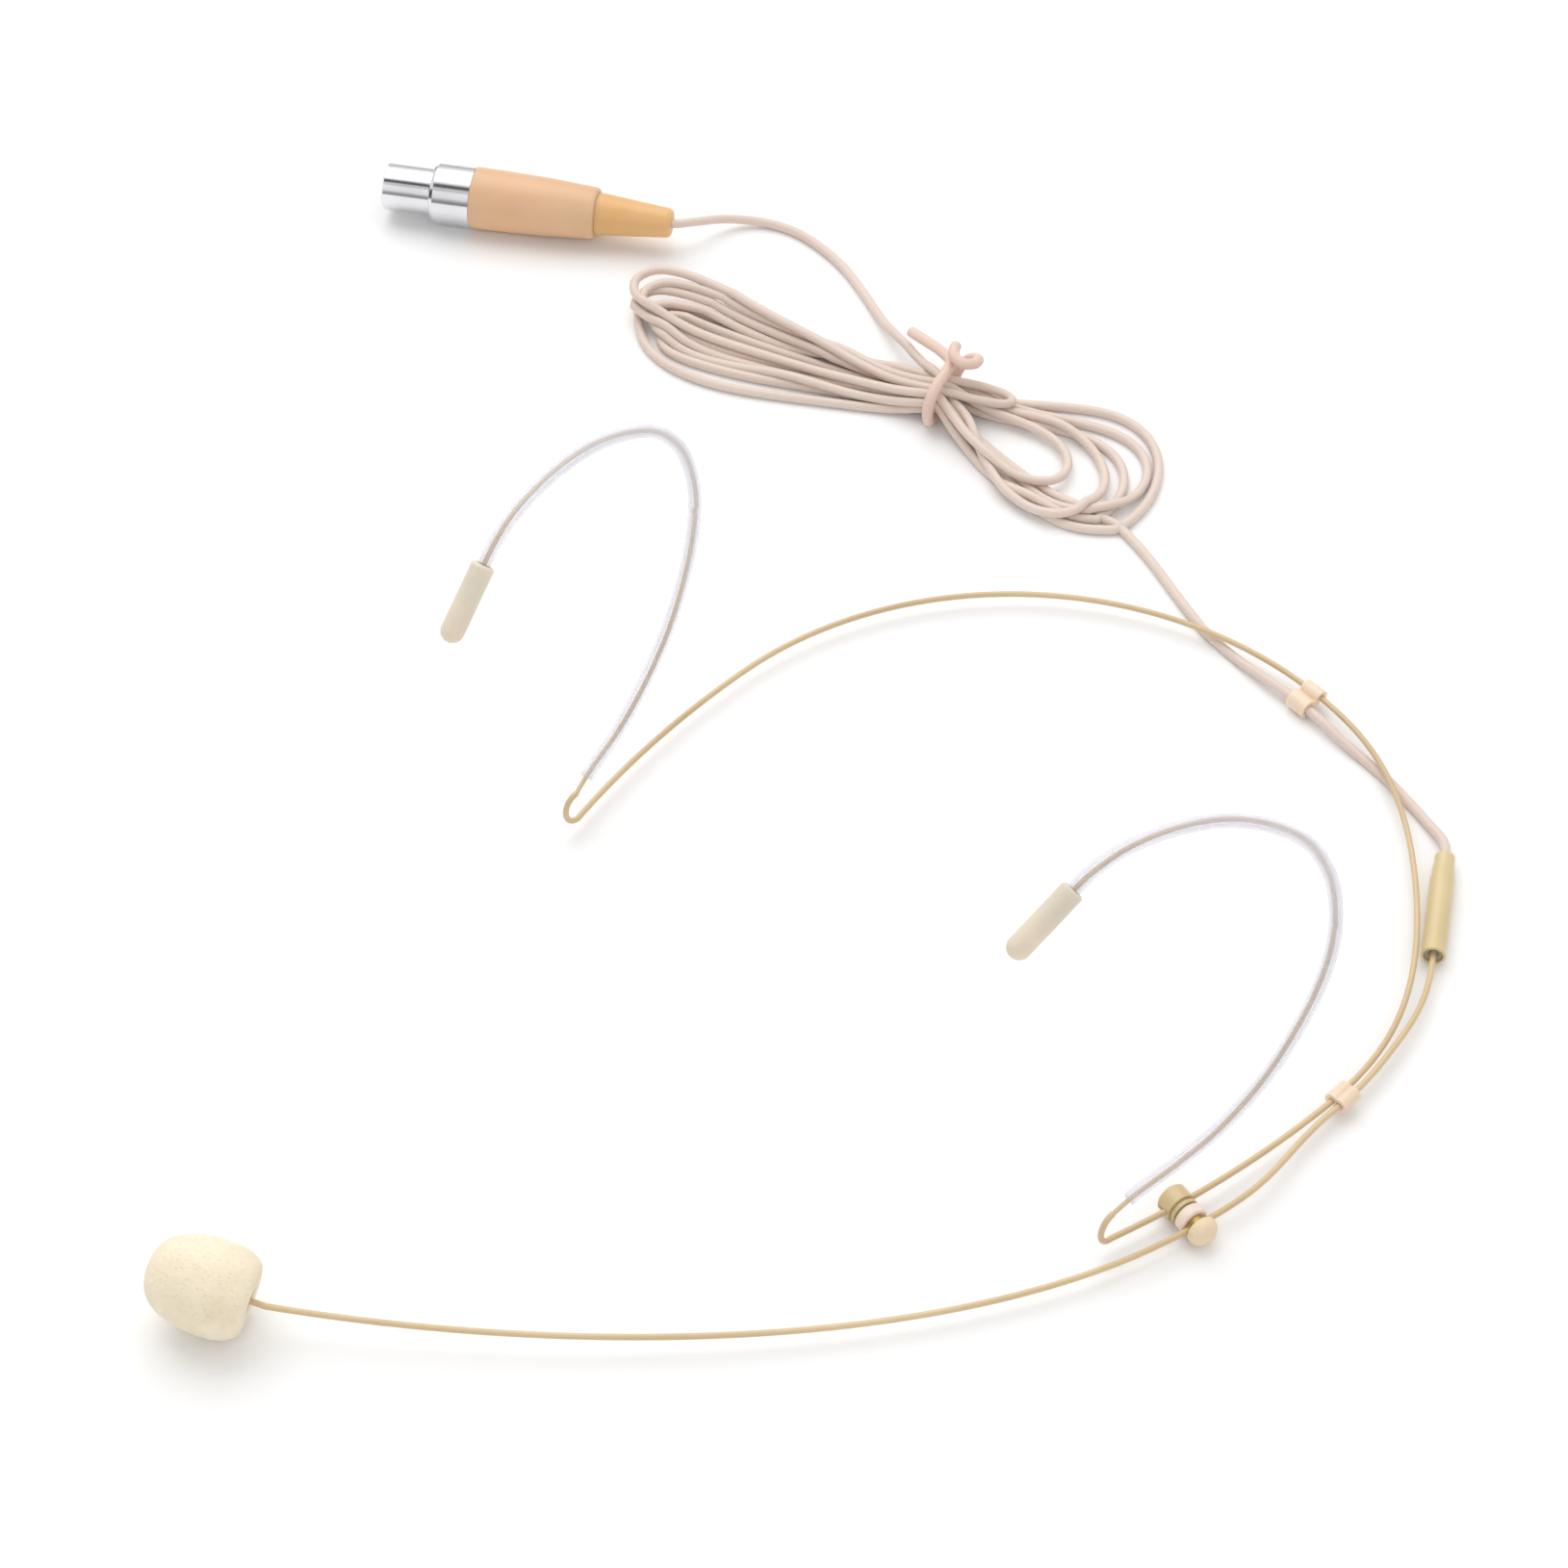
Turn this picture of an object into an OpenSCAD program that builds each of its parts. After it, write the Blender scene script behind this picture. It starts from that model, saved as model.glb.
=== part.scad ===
// Dual-ear headset microphone, laid on a flat surface with its cable wound into a hank.
// The wearer would face -Y, with the boom on the +X side. All sizes are in millimetres.

/* [Neckband] */
// Radius of the band where it goes round the back of the neck
band_r = 58.6; // [50:0.5:70]
// Length of each band side, from the back arc's centre line forward to the U-bend
side_len = 38.6; // [30:0.2:50]
// How far each U-bend sits inside the widest part of the band
side_inset = 4.9; // [2:0.1:8]
// How far the band is drawn in where the ferrule lies beside it
band_draw = 1.9; // [0:0.1:3]
// Diameter of the band wire
band_wire_d = 0.9; // [0.7:0.05:1.1]
// Height of the band wire above the surface
band_z = 2.4; // [2.4:0.1:3.5]
// Distance between the two legs of each U-bend
u_gap = 5.4; // [3:0.1:7]

/* [Ear hooks] */
// Diameter of the hook wire
hook_wire_d = 0.7; // [0.5:0.05:0.8]
// Height of the hooks above the U-bend
hook_h = 70; // [60:1:80]
// Reach of the hooks behind the U-bend
hook_back = 32; // [26:1:38]
// Reach of the hooks in front of the U-bend, to where the tip caps start
hook_front = 14; // [10:1:20]
// Pitch of the left and right hook, positive to the back
hook_pitch = [5, -6]; // [-8:1:8]
// Outer diameter of the clear sleeve
sleeve_d = 1.9; // [1.7:0.05:2.2]
// Inner diameter of the clear sleeve
sleeve_bore = 1.3; // [1.1:0.05:1.4]
// Diameter of the soft tip caps
tip_d = 3.3; // [2.8:0.1:4]
// Length of the soft tip caps
tip_len = 11.5; // [9:0.5:16]

/* [Boom] */
// Diameter of the boom tube
boom_d = 0.9; // [0.8:0.05:1.1]
// Distance from the band wire to the boom, along the clamp
clamp_reach = 4.25; // [4.25:0.05:5]
// Distance from the U-bend back to the clamp
clamp_back = 10.8; // [6:0.2:14]
// Diameter of the clamp's slotted head
clamp_d = 4.6; // [4.2:0.1:4.7]
// Radial clearance of the clamp's turning post
post_play = 0.04; // [0.02:0.01:0.08]
// Place of the capsule's rear face, to the side, to the front and up
capsule_at = [-22.2, -91.9, 6.8];
// Heading of the capsule, from the left-hand side towards the front
capsule_yaw = 31; // [15:1:40]
// Upward tilt of the capsule
capsule_tilt = 12; // [0:1:20]

/* [Capsule and windscreen] */
// Diameter of the capsule housing
capsule_d = 3.6; // [3:0.1:4.5]
// Length of the capsule housing
capsule_len = 6.5; // [5:0.5:8]
// Largest diameter of the foam windscreen
foam_d = 13.6; // [12:0.2:18]
// Length of the foam windscreen
foam_len = 14.6; // [13:0.2:18]
// Diameter of the flat rear face of the foam
foam_face_d = 8.6; // [6.5:0.1:9]
// Radial clearance between the foam and the capsule
foam_play = 0.05; // [0.03:0.01:0.1]

/* [Clips and ferrule] */
// Wall of the moulded clips
clip_wall = 0.75; // [0.6:0.05:0.9]
// Length of the moulded clips along the wire
clip_len = 3.4; // [2.5:0.1:4]
// Radial clearance of the clips on the wires
clip_play = 0.1; // [0.08:0.01:0.15]
// Outer diameter of the ferrule
ferrule_d = 3.6; // [3.2:0.1:4]
// Length of the ferrule
ferrule_len = 19.6; // [16:0.2:24]
// Wall of the ferrule
ferrule_wall = 0.35; // [0.25:0.05:0.45]

/* [Cable and plug] */
// Diameter of the cable
cable_d = 1.5; // [1.3:0.05:1.7]
// Diameter of the hank tie
tie_d = 1.6; // [1.2:0.1:2]
// Diameter of the plug's nose
nose_d = 7.9; // [7.8:0.05:8]
// Length of the plug's nose
nose_len = 8.2; // [7.5:0.1:9]
// Diameter of the plug's collar
collar_d = 10.1; // [9.6:0.1:10.6]
// Length of the plug's collar
collar_len = 6.9; // [6.5:0.1:8]
// Wall of the plug's metal shell
shell_wall = 0.5; // [0.4:0.05:0.6]
// Length of the plug's plastic sleeve
grip_len = 21; // [18:0.5:25]
// Diameter of the plastic sleeve at its rear end
grip_rear_d = 8.6; // [8:0.1:9.2]
// Length of the rubber boot behind the sleeve
boot_len = 12.6; // [10:0.2:16]
// Diameter of the boot where it leaves the sleeve
boot_d = 7; // [6:0.1:7.4]
// Diameter of the boot at its rear end
boot_rear_d = 4.9; // [4:0.1:5.5]

/* [Hidden] */
$fn = 48;
eps = 0.02;

// Middle plane of the head and centre line of the back arc.
head_x = -1.6;
band_y = 41;
u_y = band_y - side_len;

// The sides are long arcs that leave the back arc without a corner.
side_r = (side_len * side_len + side_inset * side_inset) / (2 * side_inset);
side_sweep = asin(side_len / side_r);

// The clamp sits square to the band wire, clamp_yaw off the head's own axes.
clamp_y = u_y + clamp_back;
clamp_yaw = asin((band_y - clamp_y) / side_r);
clamp_x = head_x + band_r - side_r + side_r * cos(clamp_yaw);

// Stations along the clamp's axis, from the band wire outwards.
head_in = -2;
head_out = 0.75;
neck_out = 1.15;
flange_out = 1.65;
washer_in = 1.7;
washer_out = 1.95;
ring_in = 2;
hub_in = clamp_reach - boom_d / 2 - 0.1;
hub_out = clamp_reach + boom_d / 2 + 0.1;
cap_out = hub_out + 2.4;
post_d = 1.6;
foot_d = 2.4;
hub_d = 3;

// Plug: tip of the nose, heading, and the stations along its axis.
plug_tip = [-181.5, 74.3];
plug_yaw = 34.6;
plug_z = collar_d / 2 + eps;
collar_at = nose_len;
grip_at = collar_at + collar_len;
boot_at = grip_at + grip_len;
plug_len = boot_at + boot_len;
shell_bore = nose_d - 2 * shell_wall;
spigot_len = 4;
grip_lip = 1.2;
latch_x = collar_at + collar_len / 2;
latch_press = 0.6;
latch_pin_x = latch_x + 8.4;
latch_r = 2.95;

// Latch and insert inside the plug.
button_d = 2.8;
button_room = 0.6;
tooth_x = 3.6;
tooth_len = 2;
arm_w = 1.6;
arm_t = 0.4;
contact_r = 2.1;
insert_front = 0.8;
insert_rear = 13.5;

// Ear hooks: how they lean and toe, the depth of the U-bends and how far the sleeve enters a cap.
hook_lean = 2.5;
hook_toe = 11;
u_depth = 2.2;
tip_overlap = 5;

// Capsule and foam: wall of the housing, how far the foam reaches behind and in front,
// and the space it leaves in front of the capsule.
housing_wall = 0.3;
foam_rear = 4.5;
foam_front = foam_len - foam_rear;
foam_end_gap = 0.4;

// Ferrule: it lies beside the band, slightly toed in at its boom end.
ferrule_angle = 41.5;
ferrule_gap = 1.05;
ferrule_toe = 5.9;
ferrule_r = band_r - band_draw + band_wire_d / 2 + ferrule_gap + ferrule_d / 2;
ferrule_mid = [head_x + ferrule_r * cos(ferrule_angle), band_y + ferrule_r * sin(ferrule_angle)];
ferrule_dir = [sin(ferrule_angle - ferrule_toe), -cos(ferrule_angle - ferrule_toe)];
ferrule_z = ferrule_d / 2;
ferrule_neck = 5;
ferrule_top_d = 3;
insert_recess = 0.4;
insert_len = 4;
gland_len = 3;

// Clips: places round the band's back arc, by angle from the left.
rear_clip_angle = 86;
side_clip_angle = 2.5;
rear_clip_drop = 2.6;
boom_offset = 1.3;
boom_clip_from = -1.5;
boom_clip_to = 11;
cable_clip_z = 1.6;

// Cable from the ferrule to the hank: route points chosen by hand.
lead_route = [
    [36.6, 90.1, 1.6], [35, 91.3, 1.3], [32, 92.3, 1], [27, 93.7, 0.8], [21, 95, 0.8], [16, 95.6, 0.8],
    [11.8, 95.8, 1.2], [8.1, 96.2, 1.6], [5.2, 96.6, 1.6], [2.3, 96.9, 1.6], [-0.6, 97, 1.6],
    [-3.6, 97, 1.6], [-7.5, 97.2, 1.2], [-12, 97.6, 0.8], [-17, 98.2, 0.8], [-22, 99.3, 0.8],
    [-28.5, 101.5, 0.8], [-35, 104.2, 0.8], [-39.5, 105.6, 0.8], [-43.6, 106.4, 0.9]
];

// Cable from the hank to the plug: route points chosen by hand.
tail_route = [
    [-91.5, 108.8, 3.9], [-94.5, 109.9, 3.4], [-98.2, 111.1, 2.5], [-102.5, 112.7, 1.5],
    [-107, 114.6, 0.9], [-111.5, 116.3, 0.8], [-117.5, 118.1, 0.8], [-124, 118.9, 0.8],
    [-129.8, 118.5, 0.8], [-134.2, 116.7, 0.9], [-137.3, 113.7, 1.5], [-139, 110.2, 2.6],
    [-139.5, 107, 3.8], [-139.9, 104.6, 4.7]
];

// Hank: the outline's circles, as centre and radius, from the left end to the right end.
hank_outline = [[-126.5, 88.2, 7.5], [-82.2, 105.2, 4.7], [-55.5, 109.6, 12.5]];
hank_h = 6.2;
hank_yaw = 20;

// Tie: a flat-sided loop round the waist, with its lowest point on the surface.
tie_half = 2;
waist_r = 2.1;
tie_gap = 0.2;
tie_r = waist_r + tie_gap + tie_d / 2;
tie_z = tie_r + tie_d / 2;

// ---------- paths ----------

function unit(v) = v / norm(v);

// A point on a curve that passes through p1 and p2, for t from 0 to 1.
function through(p0, p1, p2, p3, t) =
    0.5 * (2 * p1 + (p2 - p0) * t + (2 * p0 - 5 * p1 + 4 * p2 - p3) * t * t
        + (3 * p1 - p0 - 3 * p2 + p3) * t * t * t);

// A smooth path through all of the points, with steps pieces between neighbours.
function smooth(pts, steps) = [
    for (i = [0 : len(pts) - 2], k = [0 : steps - 1])
        through(pts[max(i - 1, 0)], pts[i], pts[i + 1], pts[min(i + 2, len(pts) - 1)], k / steps),
    pts[len(pts) - 1]
];

// A cubic curve with two end points and two handles.
function curve(p, t) =
    pow(1 - t, 3) * p[0] + 3 * t * pow(1 - t, 2) * p[1] + 3 * t * t * (1 - t) * p[2] + pow(t, 3) * p[3];

function tangent(path, i) = unit(path[min(i + 1, len(path) - 1)] - path[max(i - 1, 0)]);

// Side directions along a path, each carried over from the one before so that the tube never twists.
function carried(side, t) = unit(side - (side * t) * t);
function sides(path, i, side) =
    i == len(path) ? [] :
    let (s = carried(side, tangent(path, i))) concat([s], sides(path, i + 1, s));

function rings(path, r, n) =
    let (s = sides(path, 0, abs(tangent(path, 0)[2]) < 0.9 ? [0, 0, 1] : [1, 0, 0]))
    [for (i = [0 : len(path) - 1], k = [0 : n - 1])
        path[i] + r * (cos(360 * k / n) * s[i] + sin(360 * k / n) * cross(tangent(path, i), s[i]))];

function walls(count, n, start, flip) = [
    for (i = [0 : count - 2], k = [0 : n - 1])
        let (a = start + i * n + k, b = start + i * n + (k + 1) % n)
        flip ? [b, b + n, a + n, a] : [a, a + n, b + n, b]
];

// A solid rod or cord along a path.
module rod(path, d, n = 8) {
    count = len(path);
    polyhedron(
        points = rings(path, d / 2, n),
        faces = concat(
            walls(count, n, 0, false),
            [[for (k = [0 : n - 1]) k]],
            [[for (k = [n - 1 : -1 : 0]) (count - 1) * n + k]]
        )
    );
}

// A hollow tube along a path, open at both ends.
module hose(path, d, bore, n = 10) {
    count = len(path);
    last = (count - 1) * n;
    inner = count * n;
    polyhedron(
        points = concat(rings(path, d / 2, n), rings(path, bore / 2, n)),
        faces = concat(
            walls(count, n, 0, false),
            walls(count, n, inner, true),
            [for (k = [0 : n - 1]) [k, (k + 1) % n, inner + (k + 1) % n, inner + k]],
            [for (k = [0 : n - 1])
                [last + k, inner + last + k, inner + last + (k + 1) % n, last + (k + 1) % n]]
        )
    );
}

// ---------- neckband ----------

// Radius of the boom side of the band at an angle from the left, drawn in beside the ferrule.
function band_at(a) =
    a < 10 || a > 78 ? band_r : band_r - band_draw * (1 - cos(360 * (a - 10) / 68)) / 2;

// One half of the band in plan, from the back forward to the U-bend, for side +1 or -1.
function half_band(side) = concat(
    [for (a = [86 : -4 : 2])
        let (r = side > 0 ? band_at(a) : band_r)
        [head_x + side * r * cos(a), band_y + r * sin(a), band_z]],
    [[head_x + side * band_r, band_y, band_z]],
    [for (i = [1 : 6]) let (a = side_sweep * i / 6)
        [head_x + side * (band_r - side_r + side_r * cos(a)), band_y - side_r * sin(a), band_z]]
);

function u_bend_at(side) = [head_x + side * (band_r - side_inset), u_y, band_z];
function back_to_front(list) = [for (i = [len(list) - 1 : -1 : 0]) list[i]];

// The U-bend turns up and back in the hook's own upright plane.
function u_bend(side) = [
    for (a = [20 : 20 : 180])
        u_bend_at(side) + [0, -u_depth * sin(a), u_gap / 2 * (1 - cos(a))]
];

module neck_wire() {
    color("tan")
    rod(concat(
        back_to_front(u_bend(-1)),
        back_to_front(half_band(-1)),
        [[head_x, band_y + band_r, band_z]],
        half_band(1),
        u_bend(1)
    ), band_wire_d, 10);
}

// ---------- ear hooks ----------

// A hook's centre line in its own plane: distance behind the U-bend, and height above its upper leg.
hook_shape = [
    [0, 0], [4, 0.03], [10, 0.06], [16.4, 0.11], [22.5, 0.19], [26.8, 0.285], [29.8, 0.39],
    [31, 0.5], [30.3, 0.605], [28, 0.71], [23.5, 0.815], [17, 0.9], [9.5, 0.965], [1.5, 1],
    [-6, 1.005], [-11, 0.985], [-14, 0.955]
];

// Places a hook's own plane at the U-bend: x is sideways, y to the back and z up.
function turn_x(p, a) = [p[0], p[1] * cos(a) - p[2] * sin(a), p[1] * sin(a) + p[2] * cos(a)];
function turn_y(p, a) = [p[0] * cos(a) + p[2] * sin(a), p[1], p[2] * cos(a) - p[0] * sin(a)];
function turn_z(p, a) = [p[0] * cos(a) - p[1] * sin(a), p[0] * sin(a) + p[1] * cos(a), p[2]];
function pitch_of(side) = side > 0 ? hook_pitch[0] : hook_pitch[1];

// The pitch grows from nothing at the U-bend, where the wire leaves the band straight back.
function hook_point(side, p) =
    let (s = p[0] < 0 ? p[0] * hook_front / 14 : p[0] * hook_back / 31,
         h = p[1] * hook_h,
         w = min(1, norm([s, h]) / 20))
    u_bend_at(side) + [0, 0, u_gap]
    + turn_z(turn_y(turn_x([0, s, h], -pitch_of(side) * w), -side * hook_lean), -side * hook_toe);

function hook_path(side) = smooth([for (p = hook_shape) hook_point(side, p)], 2);
function hook_end(side) = hook_path(side)[len(hook_path(side)) - 1];
function hook_heading(side) = tangent(hook_path(side), len(hook_path(side)) - 1);

// Turns +Z onto a direction.
module aim(at, dir) {
    translate(at)
    rotate([0, acos(dir[2] / norm(dir)), atan2(dir[1], dir[0])])
    children();
}

module hook_wire(side) {
    path = hook_path(side);
    reach = hook_end(side) + hook_heading(side) * (tip_overlap + 1);
    color("wheat")
    rod(concat(path, [reach]), hook_wire_d, 8);
}

module hook_sleeve(side) {
    path = hook_path(side);
    start = 1;
    reach = hook_end(side) + hook_heading(side) * tip_overlap;
    color("aliceblue", 0.4)
    hose(concat([for (i = [start : len(path) - 1]) path[i]], [reach]), sleeve_d, sleeve_bore, 10);
}

// A round-ended soft cap, bored for the sleeve that is pushed into it.
module tip_cap(side) {
    color("bisque")
    aim(hook_end(side), hook_heading(side))
    difference() {
        union() {
            translate([0, 0, 0.3]) cylinder(d = tip_d, h = tip_len - tip_d / 2 - 0.3);
            cylinder(d1 = tip_d - 0.6, d2 = tip_d, h = 0.3);
            translate([0, 0, tip_len - tip_d / 2]) sphere(d = tip_d);
        }
        translate([0, 0, -eps]) cylinder(d = sleeve_d + 0.04, h = tip_overlap + 0.1 + eps);
        cylinder(d = hook_wire_d + 0.2, h = tip_overlap + 1.5);
    }
}

// ---------- clips ----------

// A point on the band's back arc, moved outwards by out.
function round_band(angle, out, z) =
    [head_x + (band_at(angle) + out) * cos(angle), band_y + (band_at(angle) + out) * sin(angle), z];

// A moulded clip with two snap rings side by side, its length along Y, the first ring at the origin.
module double_clip(d_first, d_second, at_second) {
    wall = 2 * clip_wall;
    difference() {
        union() {
            rotate([90, 0, 0]) cylinder(d = d_first + wall, h = clip_len, center = true);
            translate(at_second) rotate([90, 0, 0]) cylinder(d = d_second + wall, h = clip_len, center = true);
            rotate([0, -atan2(at_second[2], at_second[0]), 0])
            translate([0, -clip_len / 2, -0.45]) cube([norm(at_second), clip_len, 0.9]);
        }
        rotate([90, 0, 0]) cylinder(d = d_first + 2 * clip_play, h = clip_len + 1, center = true);
        translate(at_second) rotate([90, 0, 0])
        cylinder(d = d_second + 2 * clip_play, h = clip_len + 1, center = true);
        translate([-d_first * 0.38, -clip_len, 0]) cube([d_first * 0.76, 2 * clip_len, d_first + wall]);
        translate(at_second) translate([-d_second * 0.38, -clip_len, 0])
        cube([d_second * 0.76, 2 * clip_len, d_second + wall]);
    }
}

module rear_clip() {
    color("peachpuff")
    translate(round_band(rear_clip_angle, 0, band_z))
    rotate([0, 0, rear_clip_angle])
    mirror([0, 0, 1])
    double_clip(band_wire_d, cable_d, [-rear_clip_drop, 0, band_z - cable_clip_z]);
}

module side_clip() {
    color("peachpuff")
    translate(round_band(side_clip_angle, 0, band_z))
    rotate([0, 0, side_clip_angle])
    mirror([0, 0, 1])
    double_clip(band_wire_d, boom_d, [boom_offset, 0, 0]);
}

// ---------- clamp ----------

// The clamp's own place: +Z points outwards along its axis, and the band wire runs along Y at z = 0.
module at_clamp() {
    translate([clamp_x, clamp_y, band_z])
    rotate([0, 0, -clamp_yaw])
    rotate([0, 90, 0])
    children();
}

// Slotted head that snaps over the band wire, with a hollow flange that the post turns in.
module clamp_base() {
    color("burlywood")
    at_clamp()
    difference() {
        union() {
            translate([0, 0, head_in + 0.4]) cylinder(d = clamp_d, h = head_out - head_in - 0.4);
            translate([0, 0, head_in]) cylinder(d1 = clamp_d - 0.8, d2 = clamp_d, h = 0.4);
            translate([0, 0, head_out - eps]) cylinder(d = 3.6, h = neck_out - head_out + 2 * eps);
            translate([0, 0, neck_out]) cylinder(d = clamp_d - 0.4, h = flange_out - neck_out);
        }
        rotate([90, 0, 0]) cylinder(d = band_wire_d + 0.06, h = 8, center = true);
        translate([-0.2, -4, head_in - 1]) cube([0.4, 8, 1 - head_in]);
        translate([0, 0, 0.65]) cylinder(d = foot_d + 2 * post_play, h = 0.6);
        translate([0, 0, 0.65]) cylinder(d = post_d + 2 * post_play, h = 2);
    }
}

module clamp_washer() {
    color("goldenrod")
    at_clamp()
    translate([0, 0, washer_in])
    difference() {
        cylinder(d = 3.4, h = washer_out - washer_in);
        translate([0, 0, -1]) cylinder(d = post_d + 2 * post_play, h = 2);
    }
}

// Turned post: a foot held in the base, and a hub cross-drilled for the boom.
module clamp_post() {
    color("darkgoldenrod")
    at_clamp()
    difference() {
        union() {
            translate([0, 0, 0.75]) cylinder(d = foot_d, h = 0.4);
            translate([0, 0, 0.75]) cylinder(d = post_d, h = cap_out - 0.9 - 0.75);
            translate([0, 0, hub_in]) cylinder(d = hub_d, h = hub_out - hub_in);
        }
        translate([0, 0, clamp_reach]) rotate([90, 0, 0]) cylinder(d = boom_d, h = 6, center = true);
    }
}

module clamp_ring() {
    color("mistyrose")
    at_clamp()
    translate([0, 0, ring_in])
    difference() {
        union() {
            translate([0, 0, 0.2]) cylinder(d = clamp_d - 0.2, h = hub_in - ring_in - 0.4);
            cylinder(d1 = clamp_d - 0.7, d2 = clamp_d - 0.2, h = 0.2);
            translate([0, 0, hub_in - ring_in - 0.2])
            cylinder(d1 = clamp_d - 0.2, d2 = clamp_d - 0.7, h = 0.2);
        }
        translate([0, 0, -1]) cylinder(d = post_d, h = 5);
    }
}

// Domed screw cap that squeezes the boom against the hub.
module clamp_cap() {
    dome = cap_out - hub_out - 0.7;
    color("peachpuff")
    at_clamp()
    translate([0, 0, hub_out])
    difference() {
        rotate_extrude()
        polygon(concat(
            [[0, 0], [clamp_d / 2 - 0.3, 0], [clamp_d / 2 - 0.05, 0.25], [clamp_d / 2 - 0.05, 0.7]],
            [for (a = [15 : 15 : 75]) [(clamp_d / 2 - 0.05) * cos(a), 0.7 + dome * sin(a)]],
            [[0, 0.7 + dome]]
        ));
        translate([0, 0, -1]) cylinder(d = post_d, h = cap_out - 0.9 - hub_out + 1);
    }
}

// ---------- boom ----------

forward = [-sin(clamp_yaw), -cos(clamp_yaw), 0];
outward = [cos(clamp_yaw), -sin(clamp_yaw), 0];
boom_pivot = [clamp_x, clamp_y, band_z] + outward * clamp_reach;
capsule_dir = [
    -cos(capsule_yaw) * cos(capsule_tilt), -sin(capsule_yaw) * cos(capsule_tilt), sin(capsule_tilt)
];

// The front run: a long bow, then a slight hand-made bend into the capsule.
function boom_front_path() =
    let (from = boom_pivot - forward * 1.4,
         knee = capsule_at - capsule_dir * (foam_rear + 2),
         heading = [-cos(capsule_yaw + 6), -sin(capsule_yaw + 6), 0.06])
    concat(
        [from],
        [for (i = [0 : 32])
            curve([boom_pivot + forward * 2, boom_pivot + forward * 36, knee - heading * 46, knee], i / 32)],
        [capsule_at - capsule_dir * (foam_rear - 1), capsule_at - capsule_dir * 1.5, capsule_at]
    );

module boom_front() {
    color("tan")
    rod(boom_front_path(), boom_d, 8);
}

// The rear run starts in the clamp's groove, follows the band outside it and ends in the ferrule.
function beside_band(angle) = round_band(angle, boom_offset, band_z);
function boom_rear_path() =
    let (start = boom_pivot - forward * (hub_d / 2 + 0.35),
         clip_front = beside_band(boom_clip_from),
         clip_rear = beside_band(boom_clip_to))
    concat(
        [for (i = [0 : 9])
            curve([start, start - forward * 12, clip_front + [0.4, -10, 0], clip_front], i / 10)],
        [for (a = [boom_clip_from : 2.5 : boom_clip_to]) beside_band(a)],
        [for (i = [1 : 9])
            curve([clip_rear, clip_rear + [-sin(boom_clip_to), cos(boom_clip_to), 0] * 8,
                   ferrule_point(0, -9), ferrule_point(0, -1)], i / 9)],
        [ferrule_point(0, 0.5), ferrule_point(0, insert_recess + insert_len - 0.5)]
    );

module boom_rear() {
    color("tan")
    rod(boom_rear_path(), boom_d, 8);
}

// ---------- ferrule ----------

// A point on the ferrule's axis, so many millimetres in from its boom end, moved sideways by across.
function ferrule_point(across, in) =
    [ferrule_mid[0], ferrule_mid[1], ferrule_z]
    + [ferrule_dir[0], ferrule_dir[1], 0] * (ferrule_len / 2 - in)
    + [-ferrule_dir[1], ferrule_dir[0], 0] * across;

// The ferrule's own place: z = 0 is the boom end, and +Z points to the cable.
module at_ferrule() {
    aim(ferrule_point(0, 0), [-ferrule_dir[0], -ferrule_dir[1], 0]) children();
}

module ferrule_shell() {
    color("darkkhaki")
    at_ferrule()
    difference() {
        rotate_extrude()
        polygon([
            [0, 0], [ferrule_d / 2 - 0.12, 0], [ferrule_d / 2, 0.12],
            [ferrule_d / 2, ferrule_len - ferrule_neck],
            [ferrule_d / 2 - 0.08, ferrule_len - ferrule_neck + 0.6],
            [ferrule_top_d / 2 + 0.05, ferrule_len - 2],
            [ferrule_top_d / 2, ferrule_len - 1.9],
            [ferrule_top_d / 2, ferrule_len - 0.4],
            [ferrule_top_d / 2 - 0.3, ferrule_len], [0, ferrule_len]
        ]);
        translate([0, 0, -1]) cylinder(d = ferrule_d - 2 * ferrule_wall, h = ferrule_len - ferrule_neck + 1);
        cylinder(d = ferrule_top_d - 2 * ferrule_wall, h = ferrule_len + 1);
    }
}

module ferrule_insert() {
    color("khaki")
    at_ferrule()
    translate([0, 0, insert_recess])
    difference() {
        cylinder(d = ferrule_d - 2 * ferrule_wall - eps, h = insert_len);
        translate([0, 0, -1]) cylinder(d = boom_d + 0.06, h = insert_len + 2);
        translate([0, 0, -eps]) cylinder(d1 = boom_d + 0.9, d2 = boom_d, h = 0.5);
    }
}

module cable_gland() {
    color("dimgray")
    at_ferrule()
    translate([0, 0, ferrule_len - gland_len - 0.1])
    difference() {
        cylinder(d = ferrule_top_d - 2 * ferrule_wall - eps, h = gland_len);
        translate([0, 0, -1]) cylinder(d = cable_d + 0.04, h = gland_len + 2);
    }
}

// ---------- capsule and windscreen ----------

// The capsule's own place: z = 0 is its rear face, and +Z points forwards along it.
module at_capsule() {
    aim(capsule_at, capsule_dir) children();
}

module capsule_housing() {
    color("dimgray")
    at_capsule()
    difference() {
        union() {
            cylinder(d1 = capsule_d - 0.8, d2 = capsule_d, h = 0.5);
            translate([0, 0, 0.5]) cylinder(d = capsule_d, h = capsule_len - 0.5);
        }
        translate([0, 0, 0.8]) cylinder(d = capsule_d - 2 * housing_wall, h = capsule_len);
    }
}

module capsule_gasket() {
    color("black")
    at_capsule()
    translate([0, 0, 0.8])
    difference() {
        cylinder(d = capsule_d - 2 * housing_wall - 0.04, h = 0.7);
        translate([0, 0, -1]) cylinder(d = 1.4, h = 3);
    }
}

module capsule_element() {
    color("silver")
    at_capsule()
    translate([0, 0, 1.55])
    cylinder(d = capsule_d - 2 * housing_wall - 0.06, h = capsule_len - 1.55 - 0.6);
}

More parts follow.
